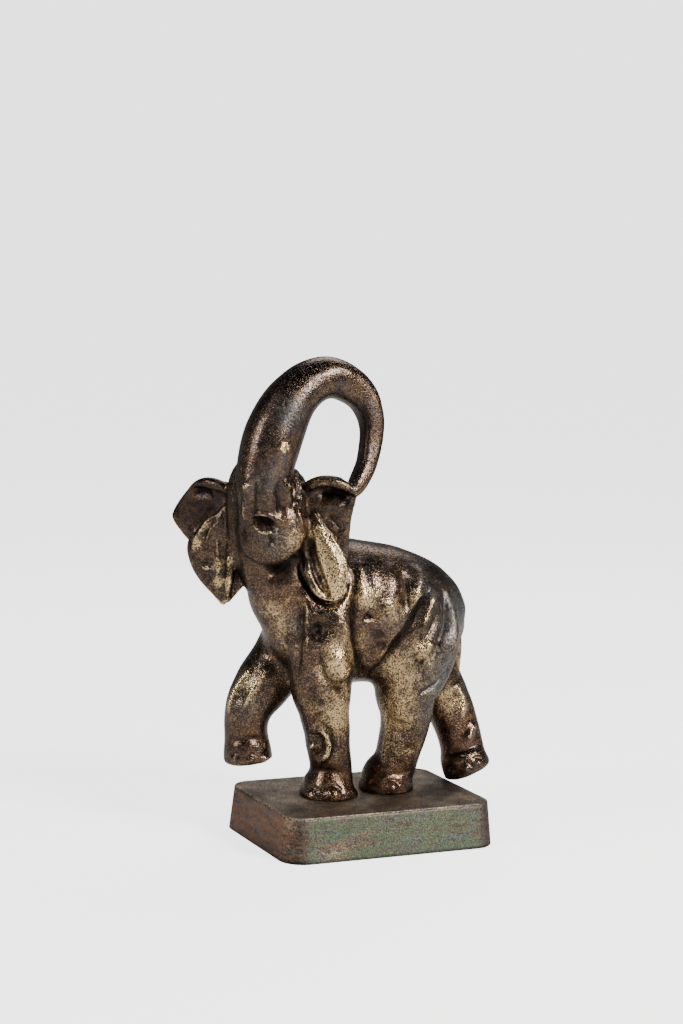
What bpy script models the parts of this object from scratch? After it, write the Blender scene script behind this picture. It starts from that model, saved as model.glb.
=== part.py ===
"""A small cast elephant, walking, with its trunk looped over its head, on a low plinth.

Metres, +Z up. The origin is the centre of the plinth's underside. The elephant walks towards -X and
its left side faces -Y. The casting's pose and carving are shares of its own height: the station
tables below are in millimetres of a figure that stands 152 mm above its plinth, and UNIT turns them
into metres at the height that is set.
"""

import math

import bmesh
import bpy
import numpy as np

# Plinth
PLINTH_LENGTH = 0.080
PLINTH_WIDTH = 0.060
PLINTH_HEIGHT = 0.0156
PLINTH_DRAFT = 0.0017
PLINTH_CORNER_RADIUS = 0.0085
PLINTH_EDGE_ROUNDING = 0.0005
PLINTH_CORNER_STEPS = 8
PLINTH_EDGE_STEPS = 2

# Figure
FIGURE_HEIGHT = 0.152
TABLE_HEIGHT = 152.0
SEAT_GAP = 0.0003
UNIT = FIGURE_HEIGHT / TABLE_HEIGHT
SOLE_LEVEL = PLINTH_HEIGHT + SEAT_GAP

# Head: its middle, how far it is turned to the left, and the lean of the ears behind its plane
BODY_MIDDLE_Y = 5.0
HEAD_MIDDLE = np.array([-35.9, 0.8, 97.0])
HEAD_TURN = math.radians(50)
EAR_ROOT = 10.5
EAR_SWEEP = 0.22
EAR_FLAP_HALF_THICKNESS = 1.7
EAR_ROLL_SIDES = 12

# Surface
SECTION_SIDES = 28
SECTION_STEPS = 5
DOME_RINGS = 4
VOXEL = 1.0 * UNIT
FILLET_PASSES = 14
FILLET_RATE = 0.5
TRIANGLES = 8600

FACING = np.array([-math.cos(HEAD_TURN), -math.sin(HEAD_TURN), 0.0])
LEFTWARD = np.array([math.sin(HEAD_TURN), -math.cos(HEAD_TURN), 0.0])
ACROSS = np.array([0.0, 1.0, 0.0])


def through(rows, steps):
    """Rows along a Catmull-Rom curve through the given rows, with the given rows among them."""
    rows = np.asarray(rows, float)
    rows = np.vstack([2 * rows[0] - rows[1], rows, 2 * rows[-1] - rows[-2]])
    t = np.linspace(0, 1, steps, endpoint=False)[:, None]
    pieces = []
    for i in range(1, len(rows) - 2):
        a, b, c, d = rows[i - 1:i + 3]
        pieces.append(0.5 * (2 * b + (c - a) * t + (2 * a - 5 * b + 4 * c - d) * t**2
                             + (3 * b - a - 3 * c + d) * t**3))
    return np.vstack(pieces + [rows[-2][None]])


def unit(vectors):
    """The vectors at length one."""
    return vectors / np.linalg.norm(vectors, axis=-1, keepdims=True)


def limb(rows, side=ACROSS, domes=(0.6, 0.6), sides=SECTION_SIDES, along=None):
    """A closed form carried along a smooth path.

    Each row is x, y, z, half width along side, outer radius, inner radius and exponent. A section is
    |u / width| ** exponent + |v / radius| ** exponent = 1, with the outer radius where v > 0. It
    stands square to the path, or to the one direction that is given as along. Each end is closed by a
    dome, as deep as its share of the last section's radius.
    """
    table = through(rows, SECTION_STEPS)
    centres = table[:, :3]
    along = unit(np.gradient(centres, axis=0)) if along is None else np.tile(along, (len(centres), 1))
    side = np.asarray(side, float)
    side = through(side, SECTION_STEPS) if side.ndim == 2 else np.tile(side, (len(centres), 1))
    side = unit(side - (side * along).sum(1)[:, None] * along)
    outward = np.cross(along, side)
    angle = np.linspace(0, 2 * math.pi, sides, endpoint=False)

    def ring(k, share, shift):
        power = 2 / table[k, 6]
        u = np.sign(np.cos(angle)) * np.abs(np.cos(angle)) ** power
        v = np.sign(np.sin(angle)) * np.abs(np.sin(angle)) ** power
        radius = np.where(v > 0, table[k, 4], table[k, 5])
        return (centres[k] + shift * along[k] + (share * table[k, 3] * u)[:, None] * side[k]
                + (share * radius * v)[:, None] * outward[k])

    def dome(k, depth):
        reach = depth * min(table[k, 3], (table[k, 4] + table[k, 5]) / 2)
        turns = math.pi / 2 * np.arange(1, DOME_RINGS) / DOME_RINGS
        return [ring(k, math.cos(turn), reach * math.sin(turn)) for turn in turns], reach

    first, first_reach = dome(0, -domes[0])
    last, last_reach = dome(-1, domes[1])
    rings = first[::-1] + [ring(k, 1, 0) for k in range(len(table))] + last
    poles = [centres[0] + first_reach * along[0], centres[-1] + last_reach * along[-1]]
    corners = np.vstack(rings + [np.array(poles)])
    here = np.arange(sides)
    after = (here + 1) % sides
    faces = []
    for k in range(len(rings) - 1):
        low = k * sides
        faces += np.c_[low + here, low + after, low + sides + after, low + sides + here].tolist()
    top = (len(rings) - 1) * sides
    faces += [(len(corners) - 2, b, a) for a, b in zip(here.tolist(), after.tolist())]
    faces += [(len(corners) - 1, top + a, top + b) for a, b in zip(here.tolist(), after.tolist())]
    return corners, faces


def body():
    """The barrel of the body from chest to rump, the neck, and the thin tail down the rump."""
    y = BODY_MIDDLE_Y
    barrel = limb([
        (-29, y, 60, 11, 15, 14, 2.1),
        (-22, y, 61, 16.5, 22, 20, 2.1),
        (-11, y, 62, 19, 27, 23.5, 2.2),
        (2, y, 62, 19.5, 25.8, 23.5, 2.2),
        (15, y, 60.5, 19.5, 23.6, 22.5, 2.2),
        (24.5, y, 58, 18, 20.4, 21, 2.1),
        (31.5, y, 55, 13, 15.2, 17, 2.1),
        (35, y, 53, 8, 9.6, 12, 2.0)], domes=(0.6, 0.4))
    neck = limb([
        (-4, y, 64, 17, 22, 20, 2.1),
        (-16, y, 67, 16, 21, 19.5, 2.1),
        (-26, y, 74, 13.5, 17, 17, 2.1),
        (-33, 4.2, 85, 10.8, 10.8, 11.5, 2.1),
        (-36, 2, 94, 10, 9, 10, 2)],
        side=[ACROSS, ACROSS, (0.2, 0.9, 0), (-0.5, 0.7, 0), -LEFTWARD], domes=(0.5, 0.6))
    tail = limb([
        (34.5, y, 66, 2.2, 2.2, 2.2, 2),
        (37.8, y - 1, 58, 1.6, 1.6, 1.6, 2),
        (38.8, y - 1, 49, 1.5, 1.5, 1.5, 2),
        (39, y, 41, 1.5, 1.5, 1.5, 2),
        (39.8, y + 3, 33, 1.5, 1.5, 1.5, 2)], sides=12)
    return [barrel, neck, tail]


def legs():
    """Four legs: both left ones planted, the right fore leg lifted, the right hind leg on its toe."""
    left_fore = limb([
        (-15, -2, 72, 9, 9, 9, 2),
        (-19, -5, 60, 11, 11, 11, 2),
        (-19.1, -5.5, 48.2, 10.3, 11, 11, 2.1),
        (-18, -4.5, 38, 9.8, 10.5, 10.5, 2.1),
        (-16.4, -3.4, 30, 8.6, 8.9, 8.7, 2.1),
        (-14.5, -2.5, 23.1, 8, 8, 8, 2.1),
        (-13.7, -2, 18.1, 7.6, 7.6, 7.8, 2.1),
        (-12, -1, 11.1, 7.2, 7.2, 7.4, 2.1),
        (-11.1, -0.2, 6.5, 7.3, 7.2, 7.2, 2.1),
        (-12, -0.2, 3.4, 9.8, 9.6, 9.2, 2.1),
        (-12.3, 0, -1, 10.5, 10.6, 10.2, 2.1)], domes=(0.6, 0.1))
    left_hind = limb([
        (22, -1, 66, 10, 10, 10, 2),
        (20.5, -4.5, 55, 12.5, 13, 13, 2.1),
        (17, -4.8, 44, 12, 12.5, 12.5, 2.1),
        (14.5, -4.5, 36.3, 10.6, 11.2, 11.2, 2.1),
        (15.3, -3.5, 28.7, 9, 9.4, 9.4, 2.1),
        (15.4, -2, 22.3, 8.3, 8.6, 8.6, 2.1),
        (14.3, -0.5, 14.3, 7.7, 7.9, 7.9, 2.1),
        (13.5, 0.6, 8.9, 7.5, 7.6, 7.6, 2.1),
        (11.2, 1.2, 4.6, 9, 9, 9, 2.1),
        (10.7, 1.6, -1, 9.6, 9.9, 9.6, 2.1)], domes=(0.6, 0.1))
    right_fore = limb([
        (-10, 12, 66, 9, 9, 9, 2),
        (-19, 14.5, 56, 10.5, 11, 11, 2),
        (-26, 13.5, 45.5, 9.8, 10.7, 10.5, 2.1),
        (-33, 12.5, 37.5, 9, 10.2, 9.8, 2.1),
        (-37.3, 12, 31.5, 8.2, 9, 8.6, 2.1),
        (-38.9, 12, 25.2, 7.4, 7.6, 7.6, 2.1),
        (-38.7, 12, 19.6, 7.4, 7.6, 7.6, 2.1),
        (-38.1, 12, 14.8, 8, 8.2, 8.2, 2.1),
        (-37.7, 12, 11.6, 8.2, 8.4, 8.4, 2.1)], domes=(0.6, 0.12))
    right_hind = limb([
        (22, 11, 66, 10, 10, 10, 2),
        (25, 14.5, 55, 12, 12, 12, 2.1),
        (30, 13, 42, 11, 11, 11, 2.1),
        (36.7, 10.5, 30.6, 8.6, 9.2, 8.8, 2.1),
        (40.9, 9, 21.9, 8, 8.2, 8.2, 2.1),
        (42.6, 7.8, 16, 7.6, 7.8, 7.8, 2.1),
        (43.3, 6.4, 11, 7.5, 7.8, 7.8, 2.1),
        (43.6, 5.3, 7.2, 8.2, 8.5, 8.5, 2.1),
        (45.1, 4.7, 3.3, 8.2, 8.7, 8.7, 2.1)], domes=(0.6, 0.1))
    return [left_fore, left_hind, right_fore, right_hind]


def on_head(forward, left, height):
    """A place given by its distance before and to the left of the head's middle, and its height."""
    place = HEAD_MIDDLE * (1, 1, 0) + forward * FACING + left * LEFTWARD
    return (place[0], place[1], height)


def face():
    """The muzzle with its chin, the jowl that runs into the neck and the right temple."""
    muzzle = limb([
        on_head(1, 0.5, 82.6) + (5, 6, 6, 2),
        on_head(1.5, 0.9, 85) + (9, 9, 8, 2.1),
        on_head(2, 1.1, 88) + (11.2, 10, 8, 2.2),
        on_head(2, 1.3, 91.5) + (12.2, 10.2, 8, 2.2),
        on_head(2, 1.2, 95.4) + (12.2, 10.5, 8, 2.2),
        on_head(2, 0, 99) + (11, 11.5, 8, 2.2),
        on_head(2, -0.8, 102) + (10, 12.2, 8, 2.2),
        on_head(2, -0.6, 106) + (9.4, 13.2, 8, 2.1),
        on_head(2, -0.5, 110) + (8.8, 13.6, 8, 2.1)], side=-LEFTWARD, domes=(0.5, 0.5))
    jowl = limb([
        on_head(2, -5, 97) + (5.4, 5.4, 5.4, 2),
        on_head(2, -5.4, 90) + (5.8, 5.4, 5.4, 2),
        on_head(0.5, -4.2, 83) + (6, 6, 6, 2),
        on_head(-2.5, -2.4, 76) + (8, 7.4, 7.4, 2)], side=-LEFTWARD, domes=(0.5, 0.5))
    temple = limb([
        on_head(-2, -8.5, 78) + (3.4, 3.4, 3.4, 2),
        on_head(-1.5, -11, 86) + (4, 4, 4, 2),
        on_head(-1.2, -11.6, 95) + (4.4, 4.6, 4.6, 2),
        on_head(-1.2, -11.8, 104) + (4.6, 5, 5, 2),
        on_head(-1.6, -10.4, 111) + (4.6, 5, 5, 2),
        on_head(-2, -7.4, 116) + (3.6, 4, 4, 2)], side=-LEFTWARD, domes=(0.5, 0.5))
    return [muzzle, jowl, temple]


def skull():
    """The crown and temples, set back behind the muzzle."""
    return limb([
        on_head(-3, 0, 88) + (10.5, 8, 8, 2.1),
        on_head(-3, 0, 96) + (12.2, 9, 8.5, 2.2),
        on_head(-3, 0, 103) + (12, 9, 8.5, 2.2),
        on_head(-3.4, 0, 108) + (11, 8.6, 8, 2.1),
        on_head(-3.8, -0.5, 111.5) + (8.6, 7.4, 7, 2.1)], side=-LEFTWARD, domes=(0.5, 0.4))


def trunk():
    """The trunk, raised from the face and looped back down to the left ear, flatter towards its tip."""
    return limb([
        (-39.6, -3, 100, 8.6, 8.2, 8.2, 2.1),
        (-40.8, -3.8, 106, 9, 9.4, 9.4, 2.1),
        (-40.7, -3.7, 113.5, 9, 9.6, 9.6, 2.1),
        (-39, -3.5, 121.3, 9.7, 10, 10, 2.1),
        (-35.9, -3.2, 129.8, 9.6, 9.8, 9.8, 2.1),
        (-31.1, -3, 137.6, 8.8, 8.8, 8.6, 2.1),
        (-24.9, -3, 142.9, 7.8, 8, 7.6, 2.1),
        (-18.2, -3, 145.1, 7, 7.2, 6.9, 2.3),
        (-11.3, -3.2, 143.3, 6, 6.4, 6.4, 2.8),
        (-5.9, -3.8, 139.2, 5.1, 5.4, 5.4, 3.4),
        (-3.2, -4.8, 133.9, 4.5, 4.4, 4.4, 4),
        (-2.6, -6, 128, 4, 3.7, 3.7, 4.5),
        (-3.7, -7.4, 121.6, 3.7, 3.4, 3.4, 4.5),
        (-5.7, -9, 115.7, 3.5, 3, 3, 4.5),
        (-9.4, -11, 109.9, 3.4, 2.9, 2.9, 4),
        (-12, -12, 107, 3, 2.4, 2.4, 3)], domes=(0.3, 0.5))


def on_ear(to_left, forward, across, height):
    """A place on an ear: forward of its leaning plate, across from the head's middle, and its height."""
    return on_head(forward - EAR_SWEEP * (across - EAR_ROOT), to_left * across, height)


def ear_plate(to_left, forward, rows, lean=0.0):
    """A plate of an ear, from rows of height, near edge, far edge and half thickness.

    Its sections are level, and it comes forward by its lean for each millimetre that it hangs down."""
    stations = [on_ear(to_left, forward + lean * (rows[0][0] - height), (near + far) / 2, height)
                + ((far - near) / 2, thick, thick, 2.5) for height, near, far, thick in rows]
    return limb(stations, side=to_left * LEFTWARD - EAR_SWEEP * FACING, along=(0, 0, -1))


def ear_roll(to_left, rows):
    """A rolled edge of an ear, from rows of forward, across, height and radius."""
    stations = [on_ear(to_left, *row[:3]) + (row[3], row[3], row[3], 2) for row in rows]
    return limb(stations, side=FACING, sides=EAR_ROLL_SIDES)


def left_ear():
    """A flap with a rolled top, and a plump leaf that a roll follows down and round."""
    thick = EAR_FLAP_HALF_THICKNESS
    return [
        ear_plate(1, -2.4, [
            (111.4, 14, 23.4, thick), (108.6, 10, 27.6, thick), (105, 9.7, 28.2, thick),
            (101.2, 9.7, 27.4, thick), (97.4, 9.7, 26.7, thick), (93, 9.7, 26.4, thick),
            (86, 9.7, 26, thick), (78, 12, 25, thick), (73.4, 16, 22.4, thick)]),
        ear_plate(1, -0.4, [
            (96, 13, 17.4, 1.2), (90, 12.6, 22, 1.2), (84, 12.8, 25.4, 1.2), (78.6, 14.8, 25.8, 1.2),
            (74.4, 17.4, 24.6, 1.2), (72, 19.8, 23.2, 1.2)], lean=0.11),
        ear_plate(1, 0.4, [
            (99.6, 14, 16.4, 1.2), (96.4, 14.1, 17.3, 1.5), (93, 14.4, 19.9, 2), (89, 15.4, 23, 2.4),
            (85.4, 16.5, 24.9, 2.6), (82, 17.7, 26.2, 2.6), (78.2, 19.3, 26.4, 2.5),
            (74.7, 20.9, 25.1, 2), (72.2, 21.6, 24, 1.4)], lean=0.11),
        ear_roll(1, [
            (-1.5, 11.2, 107.6, 1.6), (0.4, 13.6, 109.2, 2), (1.6, 17.4, 110.6, 2.1),
            (1.6, 21.4, 110.5, 2.1), (0.6, 24.8, 109, 1.8), (-0.8, 28, 107, 1.4)]),
        ear_roll(1, [
            (0.7, 14, 98.4, 1.2), (1.6, 13, 91, 1.3), (2.1, 12.3, 87, 1.5), (2.6, 12.9, 83.1, 1.6),
            (3.1, 14.5, 78.7, 1.5), (3.5, 16.9, 74.4, 1.4), (3.8, 19.2, 71.9, 1.3), (3.9, 21.6, 71.1, 1.2),
            (3.8, 23.5, 72, 1.2)])]


def right_ear():
    """A flap with a fat rolled top and a wide leaf, and a thin roll beside the leaf."""
    thick = EAR_FLAP_HALF_THICKNESS
    return [
        ear_plate(-1, -2.6, [
            (107.6, 15, 29.4, thick), (106, 11, 31.8, thick), (103, 10, 34.4, thick),
            (99.4, 10, 37.1, thick), (96.6, 10, 38.8, thick), (95, 10, 39.3, thick),
            (93.2, 10, 38.6, thick), (90.2, 10, 35.9, thick), (87.4, 10, 33, thick),
            (83.7, 10.5, 28, thick), (78, 11, 25, thick), (73, 13, 22, thick), (69.5, 15, 18.5, thick)]),
        ear_plate(-1, 0.4, [
            (100.4, 15.6, 18.4, 1.2), (96.5, 16.2, 21.6, 1.8), (92, 16.4, 26.6, 2.3), (88, 16.8, 31, 2.4),
            (83.4, 17.2, 31.5, 2.4), (77.9, 17.4, 29.3, 2.4), (73.3, 17.5, 25.4, 2.2),
            (69.6, 17.3, 21.1, 1.8), (66.8, 15.8, 18.4, 1.3)]),
        ear_roll(-1, [
            (-0.8, 14, 104.6, 1.4), (0, 17, 106.2, 1.7), (0.4, 20, 107.2, 2), (0.4, 23.4, 107.7, 1.9),
            (0, 26.6, 107.5, 1.6), (-1, 29.4, 106.4, 1.3), (-1.8, 31.8, 104.4, 1.2)]),
        ear_roll(-1, [
            (-0.2, 15.8, 95, 1.2), (0.6, 14.8, 89.5, 1.4), (0.9, 14.3, 84.1, 1.5), (0.9, 14.5, 76.5, 1.5),
            (0.4, 15.9, 67.8, 1.3)])]


def mesh_of(name, pieces):
    """One mesh that holds all the pieces, placed on the plinth and in metres."""
    corners, faces, count = [], [], 0
    for piece_corners, piece_faces in pieces:
        corners.append(piece_corners)
        faces += [[corner + count for corner in face] for face in piece_faces]
        count += len(piece_corners)
    places = np.vstack(corners) * UNIT + (0, 0, SOLE_LEVEL)
    mesh = bpy.data.meshes.new(name)
    mesh.from_pydata(places.tolist(), [], faces)
    tidy = bmesh.new()
    tidy.from_mesh(mesh)
    bmesh.ops.recalc_face_normals(tidy, faces=tidy.faces)
    tidy.to_mesh(mesh)
    tidy.free()
    return mesh


def fill_hollows(mesh):
    """Round the inner corners where limbs meet: points that lie in a hollow rise to their
    neighbours' mean, along the surface normal, a little at each pass."""
    count = len(mesh.vertices)
    places = np.empty(count * 3)
    edges = np.empty(len(mesh.edges) * 2, int)
    mesh.edges.foreach_get("vertices", edges)
    first, second = edges.reshape(-1, 2).T
    ends, others = np.r_[first, second], np.r_[second, first]
    degree = np.bincount(ends, minlength=count)[:, None]
    for _ in range(FILLET_PASSES):
        mesh.vertices.foreach_get("co", places)
        points = places.reshape(-1, 3)
        normals = np.empty(count * 3)
        mesh.vertex_normals.foreach_get("vector", normals)
        normals = normals.reshape(-1, 3)
        mean = np.stack([np.bincount(ends, points[others, k], count) for k in range(3)], 1) / degree
        rise = np.maximum(((mean - points) * normals).sum(1), 0)
        points += FILLET_RATE * rise[:, None] * normals
        mesh.vertices.foreach_set("co", points.ravel())
        mesh.update()


def material(name, colour, roughness):
    """A plain metal finish."""
    finish = bpy.data.materials.new(name)
    finish.use_nodes = True
    shader = finish.node_tree.nodes["Principled BSDF"]
    shader.inputs["Base Color"].default_value = (*colour, 1)
    shader.inputs["Metallic"].default_value = 1
    shader.inputs["Roughness"].default_value = roughness
    return finish


def make_elephant(parts, cutters):
    """The casting: the limbs run together into one skin, thinned, with its soles cut flat."""
    limbs = body() + legs() + face() + [skull(), trunk()] + left_ear() + right_ear()
    raw = bpy.data.objects.new("raw_limbs", mesh_of("raw_limbs", limbs))
    parts.objects.link(raw)
    remesh = raw.modifiers.new("one skin", "REMESH")
    remesh.mode = "VOXEL"
    remesh.voxel_size = VOXEL
    skin = bpy.data.meshes.new_from_object(raw.evaluated_get(bpy.context.evaluated_depsgraph_get()))
    bpy.data.objects.remove(raw)
    skin.name = "elephant"
    fill_hollows(skin)
    elephant = bpy.data.objects.new("elephant", skin)
    parts.objects.link(elephant)
    elephant.data.materials.clear()
    elephant.data.materials.append(material("patinated brass", (0.30, 0.20, 0.11), 0.38))
    thin = elephant.modifiers.new("thin", "DECIMATE")
    skin.calc_loop_triangles()
    thin.ratio = TRIANGLES / len(skin.loop_triangles)
    size = PLINTH_LENGTH + FIGURE_HEIGHT
    bpy.ops.mesh.primitive_cube_add(size=size, location=(0, 0, SOLE_LEVEL - size / 2))
    cutter = bpy.context.object
    cutter.name = "sole_cutter"
    cutter.hide_render = True
    cutter.display_type = "WIRE"
    bpy.context.collection.objects.unlink(cutter)
    cutters.objects.link(cutter)
    flat = elephant.modifiers.new("flat soles", "BOOLEAN")
    flat.operation = "DIFFERENCE"
    flat.object = cutter
    return elephant


def make_plinth(parts):
    """A block with round upright corners, sides that lean in by the draft, and softened edges."""
    bpy.ops.mesh.primitive_cube_add(size=1, location=(0, 0, 0))
    plinth = bpy.context.object
    plinth.name = "plinth"
    mesh = plinth.data
    mesh.name = "plinth"
    half_length, half_width = PLINTH_LENGTH / 2, PLINTH_WIDTH / 2
    for vertex in mesh.vertices:
        x, y, z = vertex.co
        top = z > 0
        lean = PLINTH_DRAFT if top else 0
        vertex.co = (math.copysign(half_length - lean, x), math.copysign(half_width - lean, y),
                     PLINTH_HEIGHT if top else 0)
    bpy.context.collection.objects.unlink(plinth)
    parts.objects.link(plinth)
    solid = bmesh.new()
    solid.from_mesh(mesh)
    uprights = [edge for edge in solid.edges if edge.verts[0].co.z != edge.verts[1].co.z]
    bmesh.ops.bevel(solid, geom=uprights, offset=PLINTH_CORNER_RADIUS, offset_type="OFFSET",
                    segments=PLINTH_CORNER_STEPS, profile=0.5, affect="EDGES")
    rim = [edge for edge in solid.edges
           if min(vertex.co.z for vertex in edge.verts) > PLINTH_HEIGHT - PLINTH_EDGE_ROUNDING]
    bmesh.ops.bevel(solid, geom=rim, offset=PLINTH_EDGE_ROUNDING, offset_type="OFFSET",
                    segments=PLINTH_EDGE_STEPS, profile=0.5, affect="EDGES")
    solid.to_mesh(mesh)
    solid.free()
    mesh.materials.clear()
    mesh.materials.append(material("patinated brass plinth", (0.20, 0.22, 0.16), 0.45))
    return plinth


def main():
    for thing in list(bpy.data.objects):
        bpy.data.objects.remove(thing)
    parts = bpy.data.collections.new("elephant figurine")
    cutters = bpy.data.collections.new("cutters")
    bpy.context.scene.collection.children.link(parts)
    bpy.context.scene.collection.children.link(cutters)
    make_plinth(parts)
    make_elephant(parts, cutters)


main()
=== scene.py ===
"""The looks of a small cast elephant on its plinth: a patinated, hand-worn casting.

The figure is modelled in millimetres of a casting that stands 152 mm above its plinth, with its soles
at zero, walking towards -X with its left side facing -Y, and is then placed on the plinth in metres.
"""

import math

import bpy
import numpy as np
from mathutils import Matrix, Vector


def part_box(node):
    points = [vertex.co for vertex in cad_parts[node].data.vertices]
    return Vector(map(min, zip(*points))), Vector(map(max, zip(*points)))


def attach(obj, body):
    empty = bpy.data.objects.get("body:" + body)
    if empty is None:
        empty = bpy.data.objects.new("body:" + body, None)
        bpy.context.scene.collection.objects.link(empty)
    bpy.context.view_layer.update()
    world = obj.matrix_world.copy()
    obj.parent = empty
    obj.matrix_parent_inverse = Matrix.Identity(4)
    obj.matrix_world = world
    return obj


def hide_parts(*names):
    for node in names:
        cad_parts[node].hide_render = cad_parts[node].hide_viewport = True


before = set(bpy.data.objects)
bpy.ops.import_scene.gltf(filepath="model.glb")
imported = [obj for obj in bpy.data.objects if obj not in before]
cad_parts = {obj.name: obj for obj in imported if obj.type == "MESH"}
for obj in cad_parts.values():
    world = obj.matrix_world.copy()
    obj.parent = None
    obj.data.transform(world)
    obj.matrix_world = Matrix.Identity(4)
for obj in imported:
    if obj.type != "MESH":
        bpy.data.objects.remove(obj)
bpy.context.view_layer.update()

SOLE_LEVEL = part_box("elephant")[0].z
FIGURE_TABLE_HEIGHT = 152.0
UNIT = (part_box("elephant")[1].z - SOLE_LEVEL) / FIGURE_TABLE_HEIGHT

BODY_MIDDLE_Y = 5.0
HEAD_MIDDLE = np.array([-35.9, 0.8, 97.0])
HEAD_TURN = math.radians(50)
FACING = np.array([-math.cos(HEAD_TURN), -math.sin(HEAD_TURN), 0.0])
LEFTWARD = np.array([math.sin(HEAD_TURN), -math.cos(HEAD_TURN), 0.0])
ACROSS = np.array([0.0, 1.0, 0.0])
EAR_ROOT = 10.5
EAR_SWEEP = 0.22

# How finely the forms are made and how softly they run together
SECTION_SIDES = 64
ROLL_SIDES = 20
TAIL_SIDES = 24
SECTION_STEPS = 8
DOME_RINGS = 8
SOFT_VOXEL = 0.9
SOFT_FILLET_PASSES = 36
CRISP_VOXEL = 0.5
CRISP_FILLET_PASSES = 5
FILLET_RATE = 0.6
EVEN_PASSES = 3
EVEN_STEPS = (0.5, -0.52)
TRIANGLES = 190000

# Strokes that carve the skin, and the waviness of its surface
STROKE_STEPS = 10
STROKE_MARGIN = 4
STROKE_SMOOTHING = 3
STROKE_REACH = 3
STROKE_FADE = 0.3
CREASE_POWER = 1.4
FAR_SIDE_DEPTH = 0.7
WAVES = 24
WAVE_LENGTHS = (5, 16)
WAVE_RISE = 0.0016
WAVE_SEED = 5

# Weathering: the scales and ranges of curvature that wear and the darkening of hollows (dark patina and
# painted shade) follow, and the patina's grain
FINE_PASSES = 8
BROAD_PASSES = 50
WORN_CURVATURE = (0.03, 0.4)
CREASE_SHADE_AND_PATINA_CURVATURE = (0.04, 0.3)
FAR_SIDE_WEAR = 0.7
FAR_SIDE_STAIN = 0.8
SCRATCH_WIDTH = 0.5
SCRATCH_DARKNESS = 0.4
CLOUD_SIZE = 8
TINT_SIZE = 5
BLOTCH_SIZE = 2
GRAIN_SIZE = 0.62
DUST_SIZE = 0.45
PIT_COLOUR = (0.018, 0.014, 0.014, 1)
# Near-black for painted shade, and for dark patina in hollows and scratches
SHADE_AND_DARKENING_COLOUR = (0.008, 0.007, 0.008, 1)

# The plinth, in millimetres, and the green and copper stains on its long sides
PLINTH_DRAFT = 1.7
PLINTH_CORNER_RADIUS = 8.5
PLINTH_RIM_ROUND = 0.5
PLINTH_FOOT_ROUND = 0.35
PLINTH_WAVE = 0.04
CORNER_STEPS = 14
SIDE_STEPS = (44, 32)
SIDE_RINGS = 16
RIM_STEPS = 6
TOP_RINGS = 24
GREEN_REACH = 34
STREAK_START = -29
STREAKS = ((1, 4, 0.25, 1.1), (0.6, 2, 0.2, 0.6))

# The room and the camera, in metres
FLOOR_HALF = 3.0
FLOOR_GLOW = 2.6
BACKDROP_GLOW = 2.65
ROOM_GLOW = 0.24
CEILING_GLOW = 0.04
LIGHT_AIM = (0, 0, 0.09)
CAMERA_AZIMUTH = math.radians(-24.81)
CAMERA_ELEVATION = math.radians(6.5)
CAMERA_ROLL = math.radians(1.6)
CAMERA_DISTANCE = 0.77493
CAMERA_AIM = (-0.00608, 0.11384)
FOCAL_PIXELS = 2200
PICTURE_HEIGHT = 1024
SENSOR_MILLIMETRES = 36
NEAR_CLIP = 0.01


def through(rows, steps):
    """Rows along a Catmull-Rom curve through the given rows, with the given rows among them."""
    rows = np.asarray(rows, float)
    rows = np.vstack([2 * rows[0] - rows[1], rows, 2 * rows[-1] - rows[-2]])
    t = np.linspace(0, 1, steps, endpoint=False)[:, None]
    pieces = []
    for i in range(1, len(rows) - 2):
        a, b, c, d = rows[i - 1:i + 3]
        pieces.append(0.5 * (2 * b + (c - a) * t + (2 * a - 5 * b + 4 * c - d) * t**2
                             + (3 * b - a - 3 * c + d) * t**3))
    return np.vstack(pieces + [rows[-2][None]])


def unit(vectors):
    """The vectors at length one."""
    return vectors / np.maximum(np.linalg.norm(vectors, axis=-1, keepdims=True), 1e-12)


def grid_faces(rings, sides):
    """Quads between rings of points that close round, and a fan from a pole to each end ring.

    The poles are the last two points: the first ring's, then the last ring's."""
    here = np.arange(sides)
    after = (here + 1) % sides
    low = (np.arange(rings - 1) * sides)[:, None]
    quads = np.stack([low + here, low + after, low + sides + after, low + sides + here], -1)
    top = (rings - 1) * sides
    first = np.full(sides, rings * sides)
    fans = np.vstack([np.c_[first, after, here], np.c_[first + 1, top + here, top + after]])
    return quads.reshape(-1, 4).tolist() + fans.tolist()


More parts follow.
